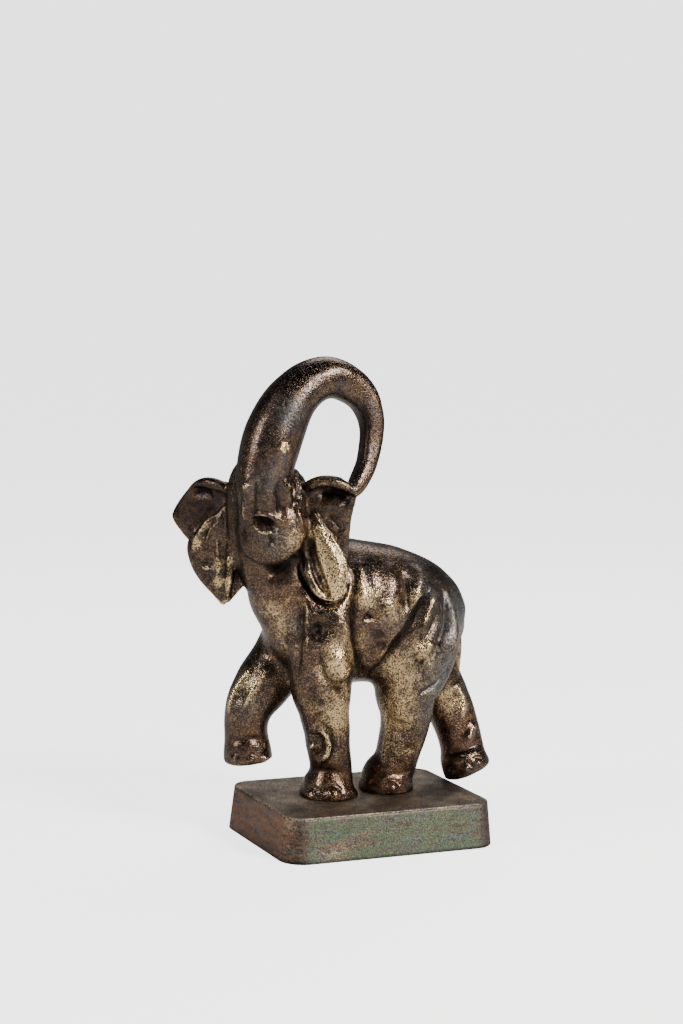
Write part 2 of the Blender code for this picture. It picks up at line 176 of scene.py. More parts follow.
def limb(rows, side=ACROSS, domes=(0.6, 0.6), sides=SECTION_SIDES, along=None):
    """A closed form carried along a smooth path.

    Each row is x, y, z, half width along side, outer radius, inner radius and exponent. A section is
    |u / width| ** exponent + |v / radius| ** exponent = 1, with the outer radius where v > 0. It stands
    square to the path, or to the one direction that is given as along. Each end is closed by a dome
    as deep as its share of the last radius.
    """
    table = through(rows, SECTION_STEPS)
    centres = table[:, :3]
    along = unit(np.gradient(centres, axis=0)) if along is None else np.tile(along, (len(centres), 1))
    side = np.asarray(side, float)
    side = through(side, SECTION_STEPS) if side.ndim == 2 else np.tile(side, (len(centres), 1))
    side = unit(side - (side * along).sum(1)[:, None] * along)
    outward = np.cross(along, side)
    angle = np.linspace(0, 2 * math.pi, sides, endpoint=False)
    turns = math.pi / 2 * np.arange(1, DOME_RINGS) / DOME_RINGS
    reach = np.array([min(table[k, 3], table[k, 4:6].mean()) for k in (0, -1)]) * (-domes[0], domes[1])
    row = np.r_[np.zeros(len(turns), int), np.arange(len(table)), np.full(len(turns), len(table) - 1)]
    share = np.r_[np.cos(turns)[::-1], np.ones(len(table)), np.cos(turns)][:, None]
    shift = np.r_[reach[0] * np.sin(turns)[::-1], np.zeros(len(table)), reach[1] * np.sin(turns)]
    power = 2 / table[row, 6][:, None]
    u = np.sign(np.cos(angle)) * np.abs(np.cos(angle)) ** power
    v = np.sign(np.sin(angle)) * np.abs(np.sin(angle)) ** power
    radius = np.where(v > 0, table[row, 4][:, None], table[row, 5][:, None])
    wide = share * table[row, 3][:, None] * u
    deep = share * radius * v
    points = (centres[row] + shift[:, None] * along[row])[:, None, :]
    points = points + wide[..., None] * side[row][:, None, :] + deep[..., None] * outward[row][:, None, :]
    poles = [centres[0] + reach[0] * along[0], centres[-1] + reach[1] * along[-1]]
    return np.vstack([points.reshape(-1, 3), poles]), grid_faces(len(row), sides)


def body():
    """The barrel of the body from chest to rump, and the neck that turns towards the head."""
    y = BODY_MIDDLE_Y
    barrel = limb([
        (-29, y, 60, 11, 15, 14, 2.1),
        (-22, y, 61, 16.5, 22, 20, 2.1),
        (-11, y, 62, 19, 27, 23.5, 2.2),
        (2, y, 62, 19.5, 25.8, 23.5, 2.2),
        (15, y, 60.5, 19.5, 23.6, 22.5, 2.2),
        (24.5, y, 58, 18, 20.4, 21, 2.1),
        (31.5, y, 55, 13, 15.2, 17, 2.1),
        (35, y, 53, 8, 9.6, 12, 2.0)], domes=(0.6, 0.4))
    neck = limb([
        (-4, y, 64, 17, 22, 20, 2.1),
        (-16, y, 67, 16, 21, 19.5, 2.1),
        (-26, y, 74, 13.5, 17, 17, 2.1),
        (-33, 4.2, 85, 10.8, 10.8, 11.5, 2.1),
        (-36, 2, 94, 10, 9, 10, 2)],
        side=[ACROSS, ACROSS, (0.2, 0.9, 0), (-0.5, 0.7, 0), -LEFTWARD], domes=(0.5, 0.6))
    return [barrel, neck]


def tail():
    """The thin tail that hangs down the rump."""
    y = BODY_MIDDLE_Y
    return limb([
        (34.5, y, 66, 2.2, 2.2, 2.2, 2),
        (37.8, y - 1, 58, 1.5, 1.5, 1.5, 2),
        (38.8, y - 1, 49, 1.4, 1.4, 1.4, 2),
        (39, y, 41, 1.4, 1.4, 1.4, 2),
        (39.8, y + 3, 33, 1.4, 1.4, 1.4, 2)], sides=TAIL_SIDES)


def legs():
    """Four legs: both left ones planted, the right fore leg lifted, the right hind leg on its toe."""
    left_fore = limb([
        (-15, -2, 72, 9, 9, 9, 2),
        (-19, -5, 60, 11, 11, 11, 2),
        (-19.1, -5.5, 48.2, 10.3, 11, 11, 2.1),
        (-18, -4.5, 38, 9.8, 10.5, 10.5, 2.1),
        (-16.4, -3.4, 30, 8.6, 8.9, 8.7, 2.1),
        (-14.5, -2.5, 23.1, 8, 8, 8, 2.1),
        (-13.7, -2, 18.1, 7.6, 7.6, 7.8, 2.1),
        (-12, -1, 11.1, 7.2, 7.2, 7.4, 2.1),
        (-11.1, -0.2, 6.5, 7.3, 7.2, 7.2, 2.1),
        (-12, -0.2, 3.4, 9.8, 9.6, 9.2, 2.1),
        (-12.3, 0, -1, 10.5, 10.6, 10.2, 2.1)], domes=(0.6, 0.1))
    left_hind = limb([
        (22, -1, 66, 10, 10, 10, 2),
        (20.5, -4.5, 55, 12.5, 13, 13, 2.1),
        (17, -4.8, 44, 12, 12.5, 12.5, 2.1),
        (14.5, -4.5, 36.3, 10.6, 11.2, 11.2, 2.1),
        (15.3, -3.5, 28.7, 9, 9.4, 9.4, 2.1),
        (15.4, -2, 22.3, 8.3, 8.6, 8.6, 2.1),
        (14.3, -0.5, 14.3, 7.7, 7.9, 7.9, 2.1),
        (13.5, 0.6, 8.9, 7.5, 7.6, 7.6, 2.1),
        (11.2, 1.2, 4.6, 9, 9, 9, 2.1),
        (10.7, 1.6, -1, 9.6, 9.9, 9.6, 2.1)], domes=(0.6, 0.1))
    right_fore = limb([
        (-10, 12, 66, 9, 9, 9, 2),
        (-19, 14.5, 56, 10.5, 11, 11, 2),
        (-26, 13.5, 45.5, 9.8, 10.7, 10.5, 2.1),
        (-33, 12.5, 37.5, 9, 10.2, 9.8, 2.1),
        (-37.3, 12, 31.5, 8.2, 9, 8.6, 2.1),
        (-38.9, 12, 25.2, 7.4, 7.6, 7.6, 2.1),
        (-38.7, 12, 19.6, 7.4, 7.6, 7.6, 2.1),
        (-38.1, 12, 14.8, 8, 8.2, 8.2, 2.1),
        (-37.7, 12, 11.6, 8.2, 8.4, 8.4, 2.1)], domes=(0.6, 0.12))
    right_hind = limb([
        (22, 11, 66, 10, 10, 10, 2),
        (25, 14.5, 55, 12, 12, 12, 2.1),
        (30, 13, 42, 11, 11, 11, 2.1),
        (36.7, 10.5, 30.6, 8.6, 9.2, 8.8, 2.1),
        (40.9, 9, 21.9, 8, 8.2, 8.2, 2.1),
        (42.6, 7.8, 16, 7.6, 7.8, 7.8, 2.1),
        (43.3, 6.4, 11, 7.5, 7.8, 7.8, 2.1),
        (43.6, 5.3, 7.2, 8.2, 8.5, 8.5, 2.1),
        (45.1, 4.7, 3.3, 8.2, 8.7, 8.7, 2.1)], domes=(0.6, 0.1))
    return [left_fore, left_hind, right_fore, right_hind]


def on_head(forward, left, height):
    """A place given by its distance before and to the left of the head's middle, and its height."""
    place = HEAD_MIDDLE * (1, 1, 0) + forward * FACING + left * LEFTWARD
    return (place[0], place[1], height)


def head_form(rows, domes=(0.5, 0.5)):
    """An upright form of the head, from rows of forward, left, height and the section's four sizes."""
    return limb([on_head(*row[:3]) + row[3:] for row in rows], side=-LEFTWARD, domes=domes)


def face():
    """The muzzle, the trunk that rises from it and loops back down, and the right jowl and temple."""
    muzzle = head_form([
        (1, 0.5, 82.6, 5, 6, 6, 2),
        (1.5, 0.9, 85, 9, 9, 8, 2.1),
        (2, 1.1, 88, 11.2, 10, 8, 2.2),
        (2, 1.3, 91.5, 12.2, 10.2, 8, 2.2),
        (2, 1.2, 95.4, 12.2, 10.5, 8, 2.2),
        (2, 0, 99, 11, 11.5, 8, 2.2),
        (2, -0.8, 102, 10, 12.2, 8, 2.2),
        (2, -0.6, 106, 9.4, 13.2, 8, 2.1),
        (2, -0.5, 110, 8.8, 13.6, 8, 2.1)])
    trunk = limb([
        (-39.6, -3, 100, 8.6, 8.2, 8.2, 2.1),
        (-40.8, -3.8, 106, 9, 9.4, 9.4, 2.1),
        (-40.7, -3.7, 113.5, 9, 9.6, 9.6, 2.1),
        (-39, -3.5, 121.3, 9.7, 10, 10, 2.1),
        (-35.9, -3.2, 129.8, 9.6, 9.8, 9.8, 2.1),
        (-31.1, -3, 137.6, 8.8, 8.8, 8.6, 2.1),
        (-24.9, -3, 142.9, 7.8, 8, 7.6, 2.1),
        (-18.2, -3, 145.1, 7, 7.2, 6.9, 2.3),
        (-11.3, -3.2, 143.3, 6, 6.4, 6.4, 2.8),
        (-5.9, -3.8, 139.2, 5.1, 5.4, 5.4, 3.4),
        (-3.2, -4.8, 133.9, 4.5, 4.4, 4.4, 4),
        (-2.6, -6, 128, 4, 3.7, 3.7, 4.5),
        (-3.7, -7.4, 121.6, 3.7, 3.4, 3.4, 4.5),
        (-5.7, -9, 115.7, 3.5, 3, 3, 4.5),
        (-9.4, -11, 109.9, 3.4, 2.9, 2.9, 4),
        (-12, -12, 107, 3, 2.4, 2.4, 3)], domes=(0.3, 0.5))
    jowl = head_form([
        (2, -5, 97, 5.4, 5.4, 5.4, 2),
        (2, -5.4, 90, 5.8, 5.4, 5.4, 2),
        (0.5, -4.2, 83, 6, 6, 6, 2),
        (-2.5, -2.4, 76, 8, 7.4, 7.4, 2)])
    temple = head_form([
        (-2, -8.5, 78, 3.4, 3.4, 3.4, 2),
        (-1.5, -11, 86, 4, 4, 4, 2),
        (-1.2, -11.6, 95, 4.4, 4.6, 4.6, 2),
        (-1.2, -11.8, 104, 4.6, 5, 5, 2),
        (-1.6, -10.4, 111, 4.6, 5, 5, 2),
        (-2, -7.4, 116, 3.6, 4, 4, 2)])
    return [muzzle, trunk, jowl, temple]


def skull():
    """The crown and temples, set back behind the muzzle."""
    return head_form([
        (-3, 0, 88, 10.5, 8, 8, 2.1),
        (-3, 0, 96, 12.2, 9, 8.5, 2.2),
        (-3, 0, 103, 12, 9, 8.5, 2.2),
        (-3.4, 0, 108, 11, 8.6, 8, 2.1),
        (-3.8, -0.5, 111.5, 8.6, 7.4, 7, 2.1)], domes=(0.5, 0.4))


def on_ear(to_left, forward, across, height):
    """A place on an ear: forward of its leaning plate, across from the head's middle, and its height."""
    return on_head(forward - EAR_SWEEP * (across - EAR_ROOT), to_left * across, height)


def ear_plate(to_left, forward, rows, corner=2.5, lean=0.0):
    """A plate of an ear, from rows of height, near edge, far edge and half thickness.

    Its sections are level, and it comes forward by its lean for each millimetre that it hangs down."""
    stations = [on_ear(to_left, forward + lean * (rows[0][0] - height), (near + far) / 2, height)
                + ((far - near) / 2, thick, thick, corner) for height, near, far, thick in rows]
    return limb(stations, side=to_left * LEFTWARD - EAR_SWEEP * FACING, along=(0, 0, -1))


def ear_roll(to_left, rows):
    """A rolled edge of an ear, from rows of forward, across, height and radius."""
    stations = [on_ear(to_left, *row[:3]) + (row[3], row[3], row[3], 2) for row in rows]
    return limb(stations, side=FACING, sides=ROLL_SIDES)


def left_ear():
    """A flap curled forward along its top, and a plump leaf that a roll follows down and round."""
    return [
        ear_plate(1, -2.4, [
            (111.4, 14, 23.4, 1.7), (108.6, 10, 27.6, 1.7), (105, 9.7, 28.2, 1.7), (101.2, 9.7, 27.4, 1.7),
            (97.4, 9.7, 26.7, 1.7), (93, 9.7, 26.4, 1.7), (86, 9.7, 26, 1.7), (78, 12, 25, 1.7),
            (73.4, 16, 22.4, 1.5)]),
        ear_plate(1, -0.4, [
            (96, 13.4, 17, 0.8), (90, 12.6, 22, 1), (84, 12.8, 25.4, 1.1), (78.6, 14.8, 25.8, 1.1),
            (74.4, 17.4, 24.6, 1), (72, 19.8, 23.2, 0.8)], lean=0.11),
        ear_plate(1, 0.4, [
            (99.6, 14.5, 15.7, 0.7), (96.4, 14.1, 17.3, 1.4), (93, 14.4, 19.9, 2), (89, 15.4, 23, 2.4),
            (85.4, 16.5, 24.9, 2.6), (82, 17.7, 26.2, 2.6), (78.2, 19.3, 26.4, 2.5), (74.7, 20.9, 25.1, 2),
            (72.2, 22, 23.6, 1.2)], corner=2.4, lean=0.11),
        ear_roll(1, [
            (-1.5, 11.2, 107.6, 1.6), (0.4, 13.6, 109.2, 2), (1.6, 17.4, 110.6, 2.1), (1.6, 21.4, 110.5, 2.1),
            (0.6, 24.8, 109, 1.8), (-0.8, 28, 107, 1.4)]),
        ear_roll(1, [
            (0.7, 14, 98.4, 0.7), (1.6, 13, 91, 1.2), (2.1, 12.3, 87, 1.5), (2.6, 12.9, 83.1, 1.6),
            (3.1, 14.5, 78.7, 1.5), (3.5, 16.9, 74.4, 1.3), (3.8, 19.2, 71.9, 1.1), (3.9, 21.6, 70.9, 0.9),
            (3.8, 23.7, 71.6, 0.8), (3.4, 25.6, 74.6, 0.7), (3, 26.5, 78.8, 0.65), (2.6, 26.3, 82.4, 0.6),
            (2.6, 25.1, 85.6, 0.6), (2.6, 23.1, 89.2, 0.6), (2.2, 20.7, 92.6, 0.55), (1.6, 17.9, 95.9, 0.5),
            (1, 15.6, 99.2, 0.5)])]


def right_ear():
    """A flap with a fat rolled top, a ridged leaf, a thin roll beside it and a layer behind."""
    return [
        ear_plate(-1, -2.6, [
            (107.6, 15, 29.4, 1.5), (106, 11, 31.8, 1.5), (103, 10, 34.4, 1.5), (99.4, 10, 37.1, 1.5),
            (96.6, 10, 38.8, 1.5), (95, 10, 39.3, 1.5), (93.2, 10, 38.6, 1.5), (90.2, 10, 35.9, 1.5),
            (87.4, 10, 33, 1.5), (83.7, 10.5, 28, 1.5), (78, 11, 25, 1.5), (73, 13, 22, 1.4),
            (69.5, 15, 18.5, 1.2)]),
        ear_plate(-1, 0.4, [
            (100.4, 16, 18, 0.8), (96.5, 15.8, 21.6, 1.8), (92, 15.6, 26.6, 2.3), (88, 15.6, 31, 2.4),
            (83.4, 15.7, 31.5, 2.4), (77.9, 15.9, 29.3, 2.4), (73.3, 16.3, 25.4, 2.2),
            (69.6, 16.6, 21.1, 1.8), (66.6, 16.2, 17.8, 1)], corner=2.4),
        ear_roll(-1, [
            (-0.8, 14, 104.6, 1.2), (0, 17, 106.2, 1.7), (0.4, 20, 107.2, 2), (0.4, 23.4, 107.7, 1.9),
            (0, 26.6, 107.5, 1.5), (-1, 29.4, 106.4, 1.1), (-1.8, 31.8, 104.4, 0.8), (-2.4, 34.6, 100.8, 0.7),
            (-3, 37.4, 96.8, 0.6)]),
        ear_roll(-1, [
            (-0.2, 15.8, 95, 0.8), (0.6, 14.8, 89.5, 1.2), (0.9, 14.3, 84.1, 1.4), (0.9, 14.5, 76.5, 1.4),
            (0.4, 15.9, 67.8, 1.1)]),
        ear_plate(-1, -1.8, [
            (84, 7, 16, 0.9), (78, 7, 16, 0.9), (73.6, 9.6, 16, 0.9), (70.2, 12.6, 16.4, 0.9),
            (67.2, 15.2, 16.8, 0.9)])]


def mesh_object(name, points, faces):
    """An object at the origin whose mesh has these points and faces."""
    mesh = bpy.data.meshes.new(name)
    mesh.from_pydata(np.asarray(points).tolist(), [], faces)
    mesh.update()
    thing = bpy.data.objects.new(name, mesh)
    bpy.context.scene.collection.objects.link(thing)
    return thing


def one_skin(pieces, voxel):
    """The points and quads of one closed skin round all the pieces, which run into each other."""
    count, corners, faces = 0, [], []
    for points, piece_faces in pieces:
        corners.append(points)
        faces += [[corner + count for corner in face] for face in piece_faces]
        count += len(points)
    raw = mesh_object("raw_limbs", np.vstack(corners), faces)
    remesh = raw.modifiers.new("one skin", "REMESH")
    remesh.mode = "VOXEL"
    remesh.voxel_size = voxel
    skin = raw.evaluated_get(bpy.context.evaluated_depsgraph_get()).data
    points = np.empty(len(skin.vertices) * 3)
    skin.vertices.foreach_get("co", points)
    quads = np.empty(len(skin.loops), int)
    skin.loops.foreach_get("vertex_index", quads)
    if len(quads) != 4 * len(skin.polygons):
        raise ValueError("the remeshed skin isn't all quads")
    bpy.data.objects.remove(raw)
    return points.reshape(-1, 3), quads.reshape(-1, 4)


class Skin:
    """A quad mesh as whole arrays, with its neighbours worked out once."""

    def __init__(self, points, quads):
        self.points, self.quads = points, quads
        self.count = len(points)
        pairs = np.sort(np.vstack([quads[:, [k, (k + 1) % 4]] for k in range(4)]), axis=1)
        pairs = np.unique(pairs[:, 0] * self.count + pairs[:, 1])
        first, second = pairs // self.count, pairs % self.count
        self.ends, self.others = np.r_[first, second], np.r_[second, first]
        self.degree = np.bincount(self.ends, minlength=self.count)
        self.loops = quads.ravel()

    def spread(self, values):
        """Each point's mean over its neighbours of a value, or of each column of values."""
        if values.ndim == 1:
            return np.bincount(self.ends, values[self.others], self.count) / self.degree
        return np.stack([self.spread(column) for column in values.T], 1)

    def normals(self):
        """Unit normals at the points, from the cross product of each quad's diagonals."""
        a, b, c, d = (self.points[self.quads[:, k]] for k in range(4))
        facing = np.cross(c - a, d - b)
        total = [np.bincount(self.loops, np.repeat(facing[:, k], 4), self.count) for k in range(3)]
        return unit(np.stack(total, 1))

    def fill_hollows(self, passes, rate):
        """Points that lie in a dip rise to their neighbours' mean along the normal."""
        for _ in range(passes):
            normals = self.normals()
            rise = ((self.spread(self.points) - self.points) * normals).sum(1)
            self.points = self.points + rate * np.maximum(rise, 0)[:, None] * normals

    def even_out(self, passes):
        """Smoothing that keeps the size: a step towards the neighbours' mean, then most of it back."""
        for step in EVEN_STEPS * passes:
            self.points = self.points + step * (self.spread(self.points) - self.points)

    def round_path(self, path, reach):
        """The numbers of the points in the box that reaches this far round a path."""
        return np.where(((self.points > path.min(0) - reach) & (self.points < path.max(0) + reach)).all(1))[0]

    def drawn(self, places):
        """The smooth path through the places, drawn onto the skin, and the skin's points along it."""
        path = through(places, STROKE_STEPS) if len(places) > 1 else np.array(places, float)
        box = self.round_path(path, STROKE_MARGIN)
        gaps = ((self.points[box][:, None] - path) ** 2).sum(2)
        nearest = box[gaps.argmin(0)]
        path = self.points[nearest]
        for _ in range(STROKE_SMOOTHING):
            path[1:-1] = path[1:-1] / 2 + (path[:-2] + path[2:]) / 4
        return path, nearest

    def carve(self, strokes):
        """Raise or sink the skin along strokes, each of a height, a width and its places.

        A point moves along its normal by height * fade * exp(-(distance / width) ** power), where the
        distance is to the stroke, the fade falls to nothing at a stroke's two ends, and the power is
        2 for a swell and less for a crease, whose bottom is then a sharp line. Points that face away
        from the stroke stay where they are."""
        normals = self.normals()
        rise = np.zeros(self.count)
        for height, width, places in strokes:
            path, on_skin = self.drawn(places)
            box = self.round_path(path, STROKE_REACH * width)
            gaps = np.sqrt(((self.points[box][:, None] - path) ** 2).sum(2))
            closest = gaps.argmin(1)
            share = closest / max(len(path) - 1, 1)
            fade = ease(np.minimum(share, 1 - share), 0, STROKE_FADE) if len(path) > 1 else 1
            facing = (normals[box] * normals[on_skin][closest]).sum(1)
            power = 2 if height > 0 else CREASE_POWER
            rise[box] += (height * fade * np.clip(2 * facing, 0, 1)
                          * np.exp(-(gaps.min(1) / width) ** power))
        self.points = self.points + rise[:, None] * normals


def ring(centre, radius, share=1.0, count=8):
    """Places round an upright circle, or a share of it, that faces between the figure's left and front."""
    turns = 2 * math.pi * (share * np.arange(count + 1) / count)
    across, up = np.array([(0.9, -0.4, 0), (0, 0, 1)])
    return [tuple(centre + radius * math.cos(turn) * across + radius * math.sin(turn) * up)
            for turn in turns]


def other_side(strokes):
    """The same strokes on the right side of the body, shallower."""
    return [(height * FAR_SIDE_DEPTH, width, [(x, 2 * BODY_MIDDLE_Y - y, z) for x, y, z in places])
            for height, width, places in strokes]


def hide_folds():
    """Creases and swells of the hide on the left side of the body, and plainer ones on the right."""
    shoulder = [
        (-2.1, 1.0, [(-11.9, -11.9, 92.8), (-10, -11.3, 79), (-10.6, -12.6, 70), (-11.1, -13.1, 62),
                     (-9.2, -11.9, 53.1), (-5.2, -8.8, 44.6), (-4.6, -7, 41)]),
        (-1.9, 1.8, [(-28, -8, 74), (-28.4, -9, 66), (-29, -9.9, 60.6), (-29.6, -9.5, 54),
                     (-29.3, -9.5, 48), (-28.4, -8, 42)]),
        (1.4, 2.6, [(-27, -10, 76), (-27.5, -11, 70), (-27.5, -11.5, 64), (-27, -12, 58)]),
        (1.3, 3.2, [(-16.5, -12, 77), (-15.5, -14, 70), (-15, -14, 62), (-14.5, -14, 54)]),
        (-0.9, 2, [(-21.5, -13, 73), (-20.5, -14, 66)]),
        (1.2, 4.0, [(-8.2, -9, 87), (-7.4, -12, 80), (-7, -13.6, 73), (-7, -14, 66)])]
    flank = [
        (-0.6, 2.4, [(-2.2, -12, 75), (-2.6, -14, 68), (-3.4, -14, 61)]),
        (1.4, 4.6, [(4.2, -7, 83), (3.6, -12.4, 74.6), (2.6, -13.6, 69), (1.6, -14, 61)]),
        (-1.6, 1.8, [(8.6, -9.5, 80.1), (9, -11.4, 75), (9.2, -12.9, 71), (8.4, -13.4, 63)]),
        (1.5, 3.0, [(17.6, -7, 82), (16, -11, 77), (13.6, -12.6, 72.6), (11.4, -14, 66)]),
        (-2.3, 1.0, [(19.4, -12, 73.6), (16.9, -12.9, 70.9), (13.3, -14.1, 66.6), (10, -14, 61),
                     (5.5, -14, 55), (2.4, -11, 48.5), (-0.4, -7.1, 43), (0.4, -5, 40.8)])]
    rump = [
        (1.7, 2.2, [(21, -12, 73), (18.4, -14, 68), (15.4, -15, 62), (11.6, -15, 55)]),
        (-1.5, 1.6, [(23, -10, 75), (25.2, -10.4, 70.6), (24.3, -13.5, 63.3), (22, -15.6, 58.1),
                     (19.3, -17.2, 52.6), (15.9, -16.8, 45.7)]),
        (1.6, 2.0, [(17.6, -17.4, 56), (15.4, -17.6, 53.4), (13, -17.4, 50.6)]),
        (1.4, 2.6, [(29, -10, 70), (28.4, -13, 63), (26.6, -15, 55), (23.5, -16, 47)]),
        (-1.9, 1.4, [(30, -12, 58), (28.4, -14.7, 51.7), (26.3, -14.6, 45.4), (21.8, -15.2, 40),
                     (16.4, -15.5, 37.3), (11, -14.6, 36)])]
    one_sided = [
        (-1.7, 0.8, [(-28.4, -7, 86), (-28, -7.2, 80.2), (-26.2, -7.8, 75.7), (-23.6, -10.1, 71.5),
                     (-20.1, -12.4, 69.4), (-16.7, -13.6, 70), (-12.8, -12.2, 74.4), (-10.8, -9.8, 80)]),
        (-1.6, 3.8, [(-23.8, -13.1, 61.5)]), (-1.4, 1.6, [(-23.8, -13.1, 61.5)]),
        (0.7, 0.8, [(-23.2, -13.1, 61.6)]),
        (-1.6, 1.2, [(-5.8, -13.6, 64.6)]),
        (-0.5, 1.3, [(-37.6, -3.4, 70.2)])]
    return shoulder + flank + rump + one_sided + other_side(shoulder + flank + rump)


def leg_folds():
    """Elbow and knee folds, the swirl on the left knee, ridged shins and creased ankles."""
    return [
        (-1.8, 1.4, [(-25.7, -14.5, 58), (-23.6, -15.4, 51.6), (-21.7, -15.3, 46), (-18.6, -15.1, 42),
                     (-14, -13.6, 38), (-9.9, -10.6, 35)]),
        (1.6, 3.2, [(-19, -16, 54), (-15.6, -15, 48), (-13, -13.8, 43)]),
        (1.0, 0.9, [(-20.8, -5.6, 19)]),
        (-1.3, 0.8, [(-22, -4, 23.5), (-20.2, -8.4, 22.6), (-18.9, -8.6, 20.2), (-18.7, -7.8, 16.9),
                     (-20.4, -4.4, 14)]),
        (1.0, 0.9, [(-21.2, -8.8, 26), (-19, -9.9, 24), (-17.2, -9.8, 21.2), (-16.6, -9.1, 17.5),
                    (-17.7, -7.6, 14.3), (-19.6, -4.6, 11.4)]),
        (-1.2, 1.0, [(-20, -10.3, 28), (-16.6, -10.5, 23.3), (-15, -9.6, 18.1), (-15.8, -8.3, 12)]),
        (-0.8, 1.0, [(-20, 4.8, 6.1), (-19, -3.1, 9.2), (-15.2, -7.4, 9.9), (-9.5, -7.4, 8.1)]),
        (-0.8, 1.0, [(2.4, 2.2, 6.8), (3.8, -2.5, 8.1), (6.2, -5.8, 7.3), (11.9, -7.1, 6.8),
                     (17.2, -5.8, 8)]),
        (0.8, 1.1, [(6.4, -8.7, 32), (7.2, -5, 20.5), (6.7, -4, 12.9), (5.4, -4.1, 9.1)]),
        (-0.7, 2.2, [(10.5, -9.5, 28), (11, -8.5, 20)]),
        (-0.9, 1.4, [(14, -8.7, 15.9)]),
        (-1.3, 2.4, [(-42.9, 6.9, 36.5)]),
        (1.0, 1.3, [(-33.8, 5.9, 47.7), (-37.5, 4.7, 40.4), (-41, 4.9, 34.6), (-42.5, 5.3, 29)]),
        (1.1, 1.4, [(-37, 8, 46.5), (-43.4, 9.3, 38.5), (-45.7, 9.6, 32.2), (-45.8, 8.9, 25)]),
        (-1.0, 1.2, [(-46.4, 11.7, 17.8), (-43.5, 6.1, 19.8), (-38.1, 4.6, 20.1), (-32.3, 6.8, 17.8)]),
        (1.0, 1.6, [(38, 3, 37), (40.8, 2, 29), (39, 1.4, 22)]),
        (1.0, 1.4, [(46, 1.5, 22), (43.5, 0.6, 18), (41.5, -0.3, 14.5)]),
        (-1.1, 1.1, [(35.3, 5.5, 8.8), (37.6, 0.7, 11.2), (40.7, -0.8, 12.4), (50.1, 2.3, 13.4)])]


def toe_nails():
    """Nails: a low dome with a groove round its upper half, the big ones on the two planted feet."""
    folds = []
    for centre, radius in (((-14.6, -8.6, 1.4), 3.6), ((-20.5, -4.6, 1.4), 2.6), ((8.9, -7.4, 2), 3),
                           ((3.2, -4.2, 1.6), 2.4), ((-44.4, 7.6, 13), 1.9), ((-39.6, 4.4, 13), 1.9),
                           ((-34.5, 4.8, 13), 1.8), ((36.6, 1.2, 4), 1.9), ((40.5, -2.5, 5.6), 2.1),
                           ((45.2, -2.6, 7.6), 2)):
        folds += [(0.34 * radius, 0.62 * radius, [centre]),
                  (-0.26 * radius, 0.26 * radius, ring(centre, radius, share=0.5, count=4))]
    return folds


def face_folds():
    """The tusk sheaths beside the trunk with their wrinkles, the mouth, the cheek and the left eye."""
    right_tusk = [(-49.3, -8.6, 109.5), (-48.9, -8.4, 105.1), (-48.3, -5.9, 99.8), (-47.8, -3.6, 95.1)]
    left_tusk = [(-36.1, -11.6, 109.2), (-35.2, -11.2, 105.1), (-34.4, -12, 101.5)]
    folds = [
        (1.6, 1.5, [(-49.3, -8.6, 113.5)] + right_tusk), (0.8, 1, right_tusk[:1]),
        (-1.6, 1.8, [(-47.4, -10.7, 113), (-47.1, -10.1, 106), (-46.6, -7.5, 97)]),
        (1.6, 1.6, [(-36.1, -11.6, 113)] + left_tusk), (0.8, 1, left_tusk[:1]),
        (-1.6, 1.8, [(-38.8, -12.6, 113), (-38.5, -12.3, 106), (-37.1, -12.4, 98)]),
        (-2.8, 1.3, [(-47.6, -6, 97.8), (-44.3, -9.2, 97.2), (-42, -10.6, 96.5), (-38, -12.2, 95)]),
        (0.9, 0.9, [(-47.4, -6.3, 98.4), (-45.5, -9.2, 99.8), (-43.6, -10.7, 100.2), (-41.3, -11.3, 99.2),
                    (-37.6, -12.2, 96.4)]),
        (0.9, 0.8, [(-47, -6.6, 95.4), (-43.8, -8.9, 94), (-41.8, -10.3, 93.6), (-38, -12.2, 93.8)]),
        (1.1, 0.7, [(-32.8, -9.2, 114.5), (-31.8, -8.1, 107.4), (-32.4, -10.7, 102.3), (-31.4, -12, 99.1),
                    (-28.8, -11.4, 94)]),
        (-1.2, 2, [(-42.4, -9.9, 92.2), (-39.6, -11.4, 90.6)]),
        (-1.0, 1.6, [(-47.7, -2.5, 93.5)]),
        (-3.0, 2.0, [(-40.5, -4, 78.2), (-37.9, -5.4, 78.4), (-34.5, -7.6, 80), (-30.8, -9, 82.8),
                     (-28, -10.7, 87), (-26.8, -11.6, 93)])]
    for tusk, heights in ((right_tusk[0], (106.5, 104.6, 102.7)), (right_tusk[-1], (99.4, 97.6)),
                          (left_tusk[0], (107.8, 106.2, 104.6, 103))):
        folds += [(-0.5, 0.45, [(tusk[0] - 1.6, tusk[1], height - 0.4), (tusk[0], tusk[1], height),
                                (tusk[0] + 1.6, tusk[1] - 0.6, height - 0.2)]) for height in heights]
    eye = on_head(4, 11.4, 104.2)
    return folds + [(0.7, 0.8, [eye]), (-0.9, 0.6, ring(eye, 1.9))]


